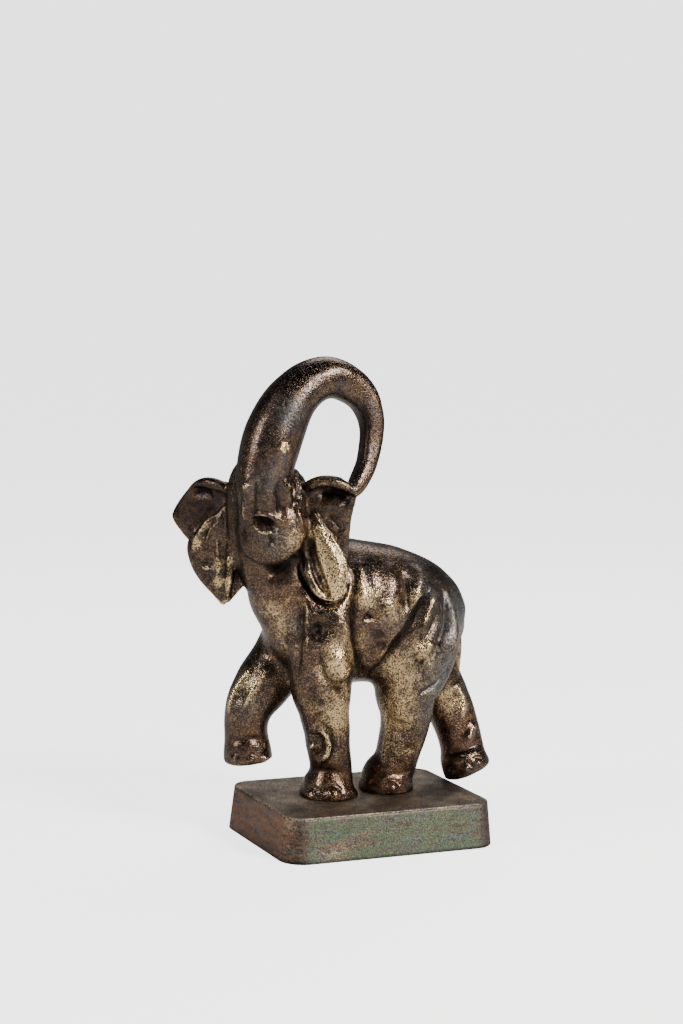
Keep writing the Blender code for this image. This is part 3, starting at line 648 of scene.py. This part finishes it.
def ear_folds():
    """Raised rims and hollows on the ears' leaves, and the shaded hollows under the flaps' rolled tops."""
    return [
        (-0.9, 0.6, [on_ear(1, *place) for place in (
            (1, 16.6, 98.2), (1, 19.2, 94.8), (1, 21.8, 91.6), (1, 24.2, 88.6), (1.2, 26, 85.6))]),
        (-2.0, 1.8, [(-23.4, -7.8, 105), (-19.8, -9.5, 106.4), (-16.2, -11.4, 106.2), (-12.5, -12.9, 104.4)]),
        (0.8, 2.2, [(-22, -8.4, 102.6), (-18, -10.4, 102.6), (-14.5, -12, 101)]),
        (-0.9, 1.5, [(-20.5, -9.1, 99), (-17.5, -10.7, 97), (-15, -11.6, 93)]),
        (1.1, 0.9, [(-50.9, 13.5, 98.6), (-53, 15.4, 95.3), (-54.9, 17.3, 91.5), (-56.5, 19.3, 87.3),
                    (-57.2, 20.4, 82)]),
        (-0.9, 0.8, [(-51.4, 13.7, 97), (-53.2, 15.2, 92.6), (-54.8, 16.8, 88.6)]),
        (0.7, 0.8, [(-51.8, 13.7, 94.4), (-53, 15, 90.9), (-53.8, 15.8, 87.4)]),
        (0.8, 0.8, [(-50.3, 12.9, 89), (-50, 13, 84.8), (-49.6, 13.4, 77.8), (-50.4, 13.2, 71.6)]),
        (-1.0, 2, [(-53.7, 15.7, 83.5), (-53, 15, 78)]),
        (-1.0, 1.4, [(-50.5, 17.6, 104), (-53.5, 20, 104.4), (-57, 23.4, 103.6)]),
        (-1.0, 1.6, [(-50.5, 17.6, 101), (-53.5, 20.6, 96.4), (-57, 22.4, 90.6)])]


def uneven(points):
    """The slight waviness of a surface shaped by hand: the sum of a few long waves in all directions."""
    random = np.random.default_rng(WAVE_SEED)
    ways = unit(random.normal(size=(WAVES, 3)))
    lengths = random.uniform(*WAVE_LENGTHS, WAVES)
    phases = random.uniform(0, 2 * math.pi, WAVES)
    return np.sin(2 * math.pi * (points @ ways.T) / lengths + phases) @ lengths * WAVE_RISE


def sculpt():
    """The whole casting: the large forms run together softly, and the small ones sit crisply on them."""
    soft = Skin(*one_skin(body() + legs() + face(), SOFT_VOXEL))
    soft.fill_hollows(SOFT_FILLET_PASSES, FILLET_RATE)
    large_forms = (soft.points, soft.quads.tolist())
    skin = Skin(*one_skin([large_forms, skull(), tail()] + left_ear() + right_ear(), CRISP_VOXEL))
    skin.fill_hollows(CRISP_FILLET_PASSES, FILLET_RATE)
    skin.carve(hide_folds() + leg_folds())
    skin.carve(toe_nails() + face_folds() + ear_folds())
    skin.even_out(EVEN_PASSES)
    skin.points = skin.points + uneven(skin.points)[:, None] * skin.normals()
    return skin


def near(points, places):
    """How near the points are to any of some patches, each a place, a radius and a strength: the
    strengths times exp(-(distance / radius) ** 2), added up."""
    return sum(strength * np.exp(-((points - place) ** 2).sum(1) / radius ** 2)
               for place, radius, strength in places)


def hidden_too(places, strength):
    """The same patches, and weaker ones in their place on the right side of the body."""
    return places + [((x, 2 * BODY_MIDDLE_Y - y, z), radius, strength * share)
                     for (x, y, z), radius, share in places]


def ease(values, low, high):
    """From 0 at low to 1 at high, with a soft start and end."""
    share = np.clip((values - low) / (high - low), 0, 1)
    return share * share * (3 - 2 * share)


def scratches():
    """Dark scratched lines: a tick on the haunch and a scrawl on the lower flank."""
    return [[(11.8, -17, 49.4), (13.2, -17, 47.4), (14, -17, 48.2), (15.4, -17, 49)],
            [(-4.4, -14.2, 61), (-2.4, -14.2, 58), (-3.2, -14.2, 55.4)],
            [(-3.6, -14.2, 57), (-0.4, -14.2, 58.6), (2.2, -14, 57.4)],
            [(-1.6, -14.2, 60.4), (-0.6, -14.2, 57), (-1.8, -14.2, 53.4)],
            [(-0.2, -14.2, 55.8), (1.4, -14.2, 54.4), (0.6, -14.2, 52.4)]]


def curvatures(skin):
    """How much the skin bulges at each point, at a fine and at a broad scale.

    That is how far a point stands out of the skin smoothed by so many passes, over the passes."""
    normals, smooth, bulge = skin.normals(), skin.points, {}
    for passes in range(1, BROAD_PASSES + 1):
        smooth = skin.spread(smooth)
        if passes in (FINE_PASSES, BROAD_PASSES):
            stands_out = ((skin.points - smooth) * normals).sum(1)
            bulge[passes] = stands_out / (0.5 * passes * CRISP_VOXEL ** 2)
    return bulge[FINE_PASSES], bulge[BROAD_PASSES]


def weathering(skin):
    """Each point's wear, darkening, green stain and copper stain, each up to 1.

    They follow the curvature and patches where the casting is worn, dark, green, red or shaded. The
    darkening is dark patina in hollows, the scratches, and painted shade: in the creases, on the
    trunk's falling side and the right ear's flap, under the ears' rolled tops, the mouth and the chin,
    in the shoulder dimple and behind the right ear. One green patch, on the trunk's front, is a
    painted sheen. Wear goes below 0 in the dark patches, where the patina is whole."""
    fine, broad = curvatures(skin)
    points = skin.points
    worn = near(points, hidden_too([
        ((-6, -13, 72), 6, 0.4), ((3, -14, 67), 6, 0.3), ((12, -14, 71), 4, 0.35), ((15, -16, 53), 4, 0.5),
        ((-20, -14, 70), 5, 0.35), ((-16, -15, 50), 9, 0.4), ((8, -15, 44), 8, 0.4), ((-14, -12, 30), 9, 0.5),
        ((7, -10, 28), 8, 0.5), ((9, -10, 14), 7, 0.3), ((-37, -5, 62), 9, 0.3)], FAR_SIDE_WEAR)
        + [(on_ear(1, 2.6, 17.4, 93.4), 2.6, 0.8), (on_ear(1, 3.6, 19.4, 88), 3.4, 1),
           (on_ear(1, 4.4, 21.2, 82), 3.8, 1), (on_ear(1, 4.8, 22.6, 76.6), 3.4, 0.9),
           (on_ear(-1, 2.6, 18.4, 80), 2, 0.6), (on_ear(-1, 2.6, 18.4, 74), 2, 0.7),
           (on_ear(-1, 1.8, 14.4, 82), 1.8, 0.5), (on_ear(-1, 1.8, 14.8, 74), 1.8, 0.5),
           ((-54, 16.3, 93), 2, 0.6), ((-56.4, 19.2, 87), 2.4, 0.7),
           ((-33, -12, 90), 5, 0.35), ((-44, 6, 40), 7, 0.4), ((38, 2, 30), 8, 0.3),
           ((-37.6, -13.1, 122.5), 1.5, 1.6)])
    dark = near(points, [
        ((-40, -8, 124), 16, 0.8), ((-28, -6, 142), 14, 0.8), ((-3, -7, 128), 16, 1.1), ((-57, 22, 99), 9, 1),
        ((-51, 12, 104), 8, 0.7), ((-17, -9, 103), 9, 0.6), ((-41, -8, 101), 9, 0.5), ((0, 0, 87), 15, 0.9),
        ((18, 0, 81), 14, 0.9), ((30, 0, 68), 13, 0.7), ((-4, -14, 60), 6, 0.4), ((-10, -2, 140), 10, 0.5),
        ((-13, -6, 3), 8, 0.9), ((9, -5, 3), 8, 0.9), ((-40, 8, 13), 8, 0.7), ((42, 0, 7), 8, 0.8),
        ((-49, -8, 106), 4, 0.6), ((-35.5, -12, 105), 5, 0.6), (on_ear(1, 2.6, 13.2, 84), 3, 0.7),
        (on_ear(1, 3.4, 15.6, 76), 3, 0.6)])
    green = near(points, hidden_too([
        ((24, -14, 48), 7, 0.9), ((26, -13, 58), 7, 0.8), ((30, -8, 66), 7, 0.8), ((18, -13, 74), 6, 0.7),
        ((22, -13, 38), 6, 0.7), ((20, -11, 28), 7, 0.5), ((-31, -8, 62), 4, 0.6),
        ((7, -12, 62), 4, 0.5)], FAR_SIDE_STAIN)
        # The first patch here is a painted sheen: a cool tint where the key softbox's highlight falls on the
        # trunk's front
        + [((-36, -12, 134), 6, 0.8), ((-44, -12, 112), 6, 0.6), ((-40, -12, 91), 5, 0.6),
           ((-44, 5, 34), 6, 0.5)])
    red = near(points, hidden_too([
        ((-34, -7, 66), 9, 0.6), ((-24, -12, 50), 8, 0.3), ((12, -12, 30), 9, 0.3),
        ((-7, -13, 60), 8, 0.2)], FAR_SIDE_STAIN)
        + [((-48, -8, 116), 5, 0.7), ((-58, 20, 98), 10, 0.3), ((-46, -5, 88), 6, 0.4),
           ((42, 2, 20), 12, 0.5), ((-40, 8, 20), 9, 0.3), ((-13, -6, 4), 9, 0.5), ((9, -5, 4), 9, 0.5)])
    # Painted shade: on the right ear's flap, under both ears' rolled tops, on the trunk's falling side, under
    # the chin and mouth, in the shoulder dimple and behind the right ear's lower edge
    shaded = near(points, [
        ((-58, 22, 99), 9, 0.65), ((-52, 14, 103), 7, 0.4), ((-3, -7, 128), 12, 0.6),
        ((-33, -8, 80.5), 4, 0.8), ((-28, -10, 86), 4, 0.7), ((-45, -2, 90), 6, 0.3),
        ((-17, -9, 104), 7, 0.35), ((-24.2, -13.1, 61), 2.6, 1.4), ((-53, 14, 76), 3, 0.4)])
    scratched = near(points, [(place, SCRATCH_WIDTH, SCRATCH_DARKNESS)
                              for line in scratches() for place in skin.drawn(line)[0]])
    kept = np.clip(dark, 0, 1)
    rubbed = ease(0.6 * broad + 0.4 * fine, *WORN_CURVATURE) * (0.75 - 0.45 * kept)
    # Concave places darken: partly dark patina gathered in hollows, partly painted shade in the creases
    sunk = ease(-0.5 * broad - 0.5 * fine, *CREASE_SHADE_AND_PATINA_CURVATURE)
    return {"wear": np.clip(rubbed + worn - 0.3 * kept, -0.3, 1),
            "shade_and_darkening": np.clip(sunk + shaded + scratched, 0, 1),
            "verdigris_and_sheen": np.clip(green, 0, 1),
            "copper": np.clip(red, 0, 1)}


def give(mesh, values):
    """Store each named value on the mesh's points."""
    for name, value in values.items():
        mesh.attributes.new(name, "FLOAT", "POINT").data.foreach_set("value", value.astype(np.float32))


def node(tree, kind, inputs=(), **settings):
    """A node with these settings, its inputs set to values or linked to other nodes' outputs."""
    made = tree.nodes.new(kind)
    for name, value in settings.items():
        setattr(made, name, value)
    for name, value in dict(inputs).items():
        if isinstance(value, bpy.types.NodeSocket):
            tree.links.new(value, made.inputs[name])
        else:
            made.inputs[name].default_value = value
    return made


def math_node(tree, operation, first, second):
    """The outcome of a sum on two values."""
    return node(tree, "ShaderNodeMath", {0: first, 1: second}, operation=operation).outputs[0]


def plus(tree, first, second):
    """Two values added."""
    return math_node(tree, "ADD", first, second)


def minus(tree, first, second):
    """The first value less the second."""
    return math_node(tree, "SUBTRACT", first, second)


def times(tree, first, second):
    """Two values multiplied."""
    return math_node(tree, "MULTIPLY", first, second)


def ramp(tree, value, low, high):
    """A mask that eases from 0 at low to 1 at high."""
    return node(tree, "ShaderNodeMapRange", {"Value": value, "From Min": low, "From Max": high},
                interpolation_type="SMOOTHSTEP").outputs[0]


def blend(tree, share, first, second):
    """The first colour, going over to the second by the share."""
    return node(tree, "ShaderNodeMix", {0: share, 6: first, 7: second}, data_type="RGBA").outputs[2]


def noise(tree, vector, millimetres, detail, roughness, distortion=0.0):
    """Noise whose largest blotches are about this big."""
    return node(tree, "ShaderNodeTexNoise", {
        "Vector": vector, "Scale": 1000 / millimetres, "Detail": detail, "Roughness": roughness,
        "Distortion": distortion}).outputs[0]


def patina_group():
    """Aged bronze: a mottled dark skin, worn metal with pits on it, green and red stains, and near-black
    darkening of dark patina in hollows, scratches and painted shade; one green patch is a painted sheen.

    Its inputs are the place, the four weathering values and the skin's colours; its outputs go to the
    shader's Base Color, Metallic and Roughness and to a Bump's Height."""
    group = bpy.data.node_groups.new("aged bronze", "ShaderNodeTree")
    for in_out, kind, names in (
            ("INPUT", "Vector", ("Place", "Stretched")),
            ("INPUT", "Float", ("Wear", "Shade_and_darkening", "Verdigris_and_sheen", "Copper", "Dullness")),
            ("INPUT", "Color", ("Dark", "Middle", "Cool", "Worn", "Green", "Red")),
            ("OUTPUT", "Color", ("Color",)), ("OUTPUT", "Float", ("Metallic", "Roughness", "Height"))):
        for name in names:
            group.interface.new_socket(name, in_out=in_out, socket_type="NodeSocket" + kind)
    given = group.nodes.new("NodeGroupInput").outputs
    clouds = noise(group, given["Stretched"], CLOUD_SIZE, 5, 0.6, 0.8)
    blotches = noise(group, given["Stretched"], BLOTCH_SIZE, 4, 0.7, 0.4)
    tint = noise(group, given["Stretched"], TINT_SIZE, 4, 0.65, 1.4)
    grain = noise(group, given["Place"], GRAIN_SIZE, 2, 0.6)
    dust = noise(group, given["Place"], DUST_SIZE, 1, 0.5)
    mottled = plus(group, times(group, clouds, 0.55), times(group, blotches, 0.45))
    cooled = times(group, ramp(group, tint, 0.46, 0.62), 0.8)
    skin = blend(group, ramp(group, mottled, 0.38, 0.62), given["Dark"],
                 blend(group, cooled, given["Middle"], given["Cool"]))
    reddened = times(group, given["Copper"], ramp(group, blotches, 0.36, 0.62))
    skin = blend(group, reddened, skin, given["Red"])
    rough_edge = plus(group, times(group, grain, 0.7), times(group, mottled, 1.3))
    rubbed = ramp(group, plus(group, given["Wear"], rough_edge), 1.12, 1.6)
    skin = blend(group, rubbed, skin, given["Worn"])
    # Green stain, and on the trunk's front a painted sheen in the same cool tint
    greened = times(group, given["Verdigris_and_sheen"], ramp(group, rough_edge, 0.72, 1.1))
    streaked = times(group, ramp(group, blotches, 0.54, 0.36), 0.9)
    verdigris_and_sheen = blend(group, cooled, given["Green"], given["Cool"])
    skin = blend(group, greened, skin, blend(group, streaked, verdigris_and_sheen, given["Dark"]))
    flecked = plus(group, times(group, given["Wear"], 0.5), 0.2)
    skin = blend(group, times(group, ramp(group, dust, 0.53, 0.64), flecked), skin, given["Worn"])
    rough_skin = plus(group, times(group, rubbed, 0.5), 0.5)
    pitted = times(group, ramp(group, grain, 0.48, 0.38), rough_skin)
    skin = blend(group, pitted, skin, PIT_COLOUR)
    # Near-black darkening: painted shade in creases, under the chin, mouth and ear rims, in the shoulder
    # dimple and on the trunk's falling side, with dark patina in hollows, scratches and the plinth's dark
    # foot and end bands; it dulls the surface too
    sunk = times(group, given["Shade_and_darkening"], 0.94)
    skin = blend(group, sunk, skin, SHADE_AND_DARKENING_COLOUR)
    dull = times(group, greened, 0.4)
    rough = plus(group, times(group, mottled, 0.3), times(group, plus(group, dull, sunk), 0.3))
    relief = times(group, minus(group, grain, pitted), rough_skin)
    node(group, "NodeGroupOutput", {
        "Color": skin, "Metallic": minus(group, 1.0, dull),
        "Roughness": plus(group, rough, given["Dullness"]),
        "Height": plus(group, times(group, blotches, 0.5), relief)})
    return group


def patinated(name, group, stretch, dullness, relief_depth, **colours):
    """A material of aged bronze, whose weathering comes from the mesh's own values.

    Its blotches are drawn out by the stretch along each direction."""
    material = bpy.data.materials.new(name)
    material.use_nodes = True
    tree = material.node_tree
    shader = tree.nodes["Principled BSDF"]
    place = node(tree, "ShaderNodeTexCoord").outputs["Object"]
    inputs = {"Dullness": dullness, "Place": place,
              "Stretched": node(tree, "ShaderNodeMapping", {
                  "Vector": place, "Scale": [1 / share for share in stretch]}).outputs[0]}
    for value in ("wear", "shade_and_darkening", "verdigris_and_sheen", "copper"):
        inputs[value.capitalize()] = node(tree, "ShaderNodeAttribute", attribute_name=value).outputs["Fac"]
    for colour, value in colours.items():
        inputs[colour.capitalize()] = (*value, 1)
    patina = node(tree, "ShaderNodeGroup", inputs, node_tree=group)
    for key, socket in (("Color", "Base Color"), ("Metallic", "Metallic"), ("Roughness", "Roughness")):
        tree.links.new(patina.outputs[key], shader.inputs[socket])
    relief = node(tree, "ShaderNodeBump", {"Height": patina.outputs["Height"], "Strength": 1.0,
                                           "Distance": relief_depth})
    tree.links.new(relief.outputs[0], shader.inputs["Normal"])
    return material


def thin_out(thing):
    """Leave the object as many triangles as are allowed, small ones where the skin bends."""
    thing.data.calc_loop_triangles()
    thin = thing.modifiers.new("thin", "DECIMATE")
    thin.ratio = min(TRIANGLES / len(thing.data.loop_triangles), 1)
    mesh = bpy.data.meshes.new_from_object(thing.evaluated_get(bpy.context.evaluated_depsgraph_get()))
    thing.modifiers.clear()
    thing.data = mesh


def make_elephant(patina):
    """The casting, standing on its plinth."""
    skin = sculpt()
    points = skin.points * UNIT
    points[:, 2] = np.maximum(points[:, 2], 0) + SOLE_LEVEL
    elephant = mesh_object("elephant_casting", points, skin.quads.tolist())
    give(elephant.data, weathering(skin))
    thin_out(elephant)
    elephant.data.shade_smooth()
    elephant.data.materials.append(patinated(
        "patinated brass", patina, (1, 1, 1), 0.06, 0.00018, dark=(0.048, 0.034, 0.033),
        middle=(0.145, 0.092, 0.054), cool=(0.072, 0.062, 0.076), worn=(0.86, 0.63, 0.34),
        green=(0.06, 0.09, 0.105), red=(0.19, 0.085, 0.05)))
    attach(elephant, "root")
    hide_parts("elephant")


def rounded_rectangle(half_length, half_width, radius):
    """Places round a rectangle with round corners, as many on each corner and side at any size."""
    places = []
    turns = np.arange(CORNER_STEPS) / CORNER_STEPS * math.pi / 2
    inner = np.array([half_length - radius, half_width - radius])
    corners = [inner * sign for sign in ((1, 1), (-1, 1), (-1, -1), (1, -1))]
    for k, corner in enumerate(corners):
        arc = turns + k * math.pi / 2
        places.append(corner + radius * np.c_[np.cos(arc), np.sin(arc)])
        end = (k + 1) * math.pi / 2
        way = radius * np.array([math.cos(end), math.sin(end)])
        steps = SIDE_STEPS[k % 2]
        share = np.arange(steps)[:, None] / steps
        places.append(corner + way + share * (corners[(k + 1) % 4] - corner))
    return np.vstack(places)


def plinth_form(half_length, half_width, top):
    """The plinth's points and faces: its drafted side, rounded top edge and level top.

    The rings run from the middle of the underside out, up the side and in again over the top. Each is
    the rounded rectangle at its own inset and height, and the top waves by a few hundredths of a
    millimetre, as filed metal does."""
    rim = math.pi / 2 * np.linspace(0, 1, RIM_STEPS)
    rise = np.linspace(PLINTH_FOOT_ROUND, top - PLINTH_RIM_ROUND, SIDE_RINGS)
    inwards = 1 - np.linspace(0, 1, TOP_RINGS + 1)[1:-1]
    reach = half_width - PLINTH_DRAFT - PLINTH_RIM_ROUND
    inset = np.r_[half_width - inwards[::-1] * (half_width - PLINTH_FOOT_ROUND), PLINTH_FOOT_ROUND,
                  PLINTH_DRAFT * rise / top,
                  PLINTH_DRAFT + PLINTH_RIM_ROUND * (1 - np.cos(rim)),
                  half_width - inwards * reach]
    height = np.r_[np.zeros(TOP_RINGS), rise,
                   top - PLINTH_RIM_ROUND + PLINTH_RIM_ROUND * np.sin(rim),
                   np.full(len(inwards), top)]
    rings = []
    for inwards_by, level in zip(inset, height):
        radius = max(PLINTH_CORNER_RADIUS - inwards_by, 0.02 * (half_width - inwards_by))
        ring_places = rounded_rectangle(half_length - inwards_by, half_width - inwards_by, radius)
        rings.append(np.c_[ring_places, np.full(len(ring_places), level)])
    points = np.vstack(rings + [[(0, 0, 0), (0, 0, top)]])
    x, y, z = points.T
    inside = 1 - np.maximum(np.abs(x) / half_length, np.abs(y) / half_width)
    waves = np.sin(0.21 * x + 1.3 * np.sin(0.13 * y)) + np.sin(0.17 * y - 0.3 * x + 2)
    sunk = PLINTH_WAVE * waves - 2 * PLINTH_WAVE
    points[:, 2] += np.where(z > top - 0.01, sunk * ease(inside, 0, 0.1), 0)
    return points, grid_faces(len(rings), len(rings[0]))


def plinth_weathering(points, half_length, half_width, top):
    """Each point's wear, darkening, green stain and copper stain, each from 0 to 1.

    The long sides are green, with copper streaks that rise slantwise on the front and dark bands beside
    the corners; the end the elephant walks towards is coppery, and the foot is dark all round."""
    x, y, z = points.T
    long_side = ease(np.abs(y), half_width - 3, half_width - 1.8) * ease(GREEN_REACH - np.abs(x), -2, 4)
    streak = sum(strength * np.exp(-((z - height - slope * (x - STREAK_START)) / width) ** 2)
                 for strength, height, slope, width in STREAKS)
    streak = streak * ease(x, -31, -27) * ease(-x, 4, 14) * long_side
    pale_patch = near(points, [
        ((-24, -30, 2.6), 4, 0.3), ((-19, -30, 1.6), 4, 0.2), ((10, -30, 8), 12, 0.1)])
    end_bands = ease(np.abs(x), 30, 36) * ease(np.abs(y), half_width - 8, half_width - 1.8) * 0.45
    away = np.maximum(np.abs(x) / half_length, np.abs(y) / half_width)
    near_edge = ease(z, top - 0.9, top - 0.1) * ease(away, 0.93, 0.96)
    corner = near(points * (1, 1, 0), [((-37, -25, 0), 4, 0.15)])
    on_sides = ease(top - z, 0.2, 1)
    wear = 0.2 * near_edge + (corner + pale_patch) * on_sides + 0.2 * (1 - on_sides)
    copper = 0.25 + 0.6 * ease(-x, half_length - 3, half_length - 1.5) + streak + 4 * corner
    return {"wear": np.clip(wear, 0, 1),
            "shade_and_darkening": np.clip(ease(1.6 - z, 0, 1.6) * 0.55 + end_bands * on_sides, 0, 1),
            "verdigris_and_sheen": np.clip(long_side * (1 - 0.8 * streak) - 0.5 * pale_patch, 0, 1) * on_sides,
            "copper": np.clip(copper, 0, 1) * on_sides}


def make_plinth(patina):
    """The low rectangular plinth with rounded corners, green on its long sides."""
    sizes = [size * 1000 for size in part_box("plinth")[1]]
    points, faces = plinth_form(*sizes)
    plinth = mesh_object("plinth_casting", points / 1000, faces)
    give(plinth.data, plinth_weathering(points, *sizes))
    plinth.data.shade_smooth()
    plinth.data.materials.append(patinated(
        "patinated brass plinth", patina, (3.5, 3.5, 0.6), 0.34, 0.0002, dark=(0.09, 0.072, 0.066),
        middle=(0.26, 0.205, 0.18), cool=(0.09, 0.125, 0.125), worn=(0.6, 0.47, 0.32),
        green=(0.085, 0.13, 0.068), red=(0.28, 0.13, 0.065)))
    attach(plinth, "root")
    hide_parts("plinth")


def make_stage():
    """A plain pale floor that glows a little, like a lit table."""
    corners = FLOOR_HALF * np.array([(-1, -1, 0), (1, -1, 0), (1, 1, 0), (-1, 1, 0)])
    floor = mesh_object("floor", corners, [(0, 1, 2, 3)])
    material = bpy.data.materials.new("pale floor")
    material.use_nodes = True
    shader = material.node_tree.nodes["Principled BSDF"]
    shader.inputs["Base Color"].default_value = (0.8, 0.8, 0.8, 1)
    shader.inputs["Roughness"].default_value = 0.9
    shader.inputs["Emission Color"].default_value = (1, 1, 1, 1)
    seen = node(material.node_tree, "ShaderNodeLightPath").outputs["Is Camera Ray"]
    material.node_tree.links.new(times(material.node_tree, seen, FLOOR_GLOW),
                                 shader.inputs["Emission Strength"])
    floor.data.materials.append(material)


def make_camera():
    """A camera on the photograph's line of view: azimuth 0 looks along +Y."""
    a, e = CAMERA_AZIMUTH, CAMERA_ELEVATION
    back = np.array([math.sin(a) * math.cos(e), -math.cos(a) * math.cos(e), math.sin(e)])
    level = np.array([math.cos(a), math.sin(a), 0])
    upright = np.cross(back, level)
    c, s = math.cos(CAMERA_ROLL), math.sin(CAMERA_ROLL)
    right, up = c * level + s * upright, -s * level + c * upright
    place = back * CAMERA_DISTANCE + right * CAMERA_AIM[0] + up * CAMERA_AIM[1]
    lens = bpy.data.cameras.new("camera")
    lens.sensor_width = SENSOR_MILLIMETRES
    lens.lens = SENSOR_MILLIMETRES * FOCAL_PIXELS / PICTURE_HEIGHT
    lens.clip_start = NEAR_CLIP
    camera = bpy.data.objects.new("camera", lens)
    bpy.context.scene.collection.objects.link(camera)
    camera.matrix_world = Matrix(np.vstack([np.stack([right, up, back, place], 1), [0, 0, 0, 1]]).tolist())
    bpy.context.scene.camera = camera


def softbox(name, direction, distance, width, height, power, colour):
    """A rectangular area light that looks at the figure from this direction."""
    light = bpy.data.lights.new(name, "AREA")
    light.shape = "RECTANGLE"
    light.size, light.size_y = width, height
    light.energy = power
    light.color = colour
    lamp = bpy.data.objects.new(name, light)
    bpy.context.scene.collection.objects.link(lamp)
    way = Vector(direction).normalized()
    lamp.location = Vector(LIGHT_AIM) + way * distance
    lamp.rotation_euler = way.to_track_quat("Z", "Y").to_euler()


def make_lights():
    """A pale backdrop in a dim room, and three softboxes."""
    world = bpy.data.worlds.new("pale room")
    bpy.context.scene.world = world
    world.use_nodes = True
    tree = world.node_tree
    where = node(tree, "ShaderNodeTexCoord").outputs["Generated"]
    up = node(tree, "ShaderNodeSeparateXYZ", {0: where}).outputs["Z"]
    room = node(tree, "ShaderNodeMapRange", {"Value": up, "From Min": 0.0, "From Max": 0.5,
                                             "To Min": ROOM_GLOW, "To Max": CEILING_GLOW}).outputs[0]
    seen = node(tree, "ShaderNodeLightPath").outputs["Is Camera Ray"]
    glow = node(tree, "ShaderNodeMapRange", {"Value": seen, "To Min": room,
                                             "To Max": BACKDROP_GLOW}).outputs[0]
    background = tree.nodes["Background"]
    background.inputs["Color"].default_value = (1, 1, 1, 1)
    tree.links.new(glow, background.inputs["Strength"])
    softbox("key softbox", (0.42, -0.78, 0.48), 0.9, 0.3, 0.3, 12, (1, 0.97, 0.92))
    softbox("side softbox", (-1, -0.12, 0.45), 0.8, 0.14, 0.3, 3.2, (1, 1, 1))
    softbox("back softbox", (0.4, 0.5, 0.8), 0.9, 0.6, 0.4, 3, (1, 1, 1))


make_camera()
make_stage()
make_lights()
bronze = patina_group()
make_elephant(bronze)
make_plinth(bronze)
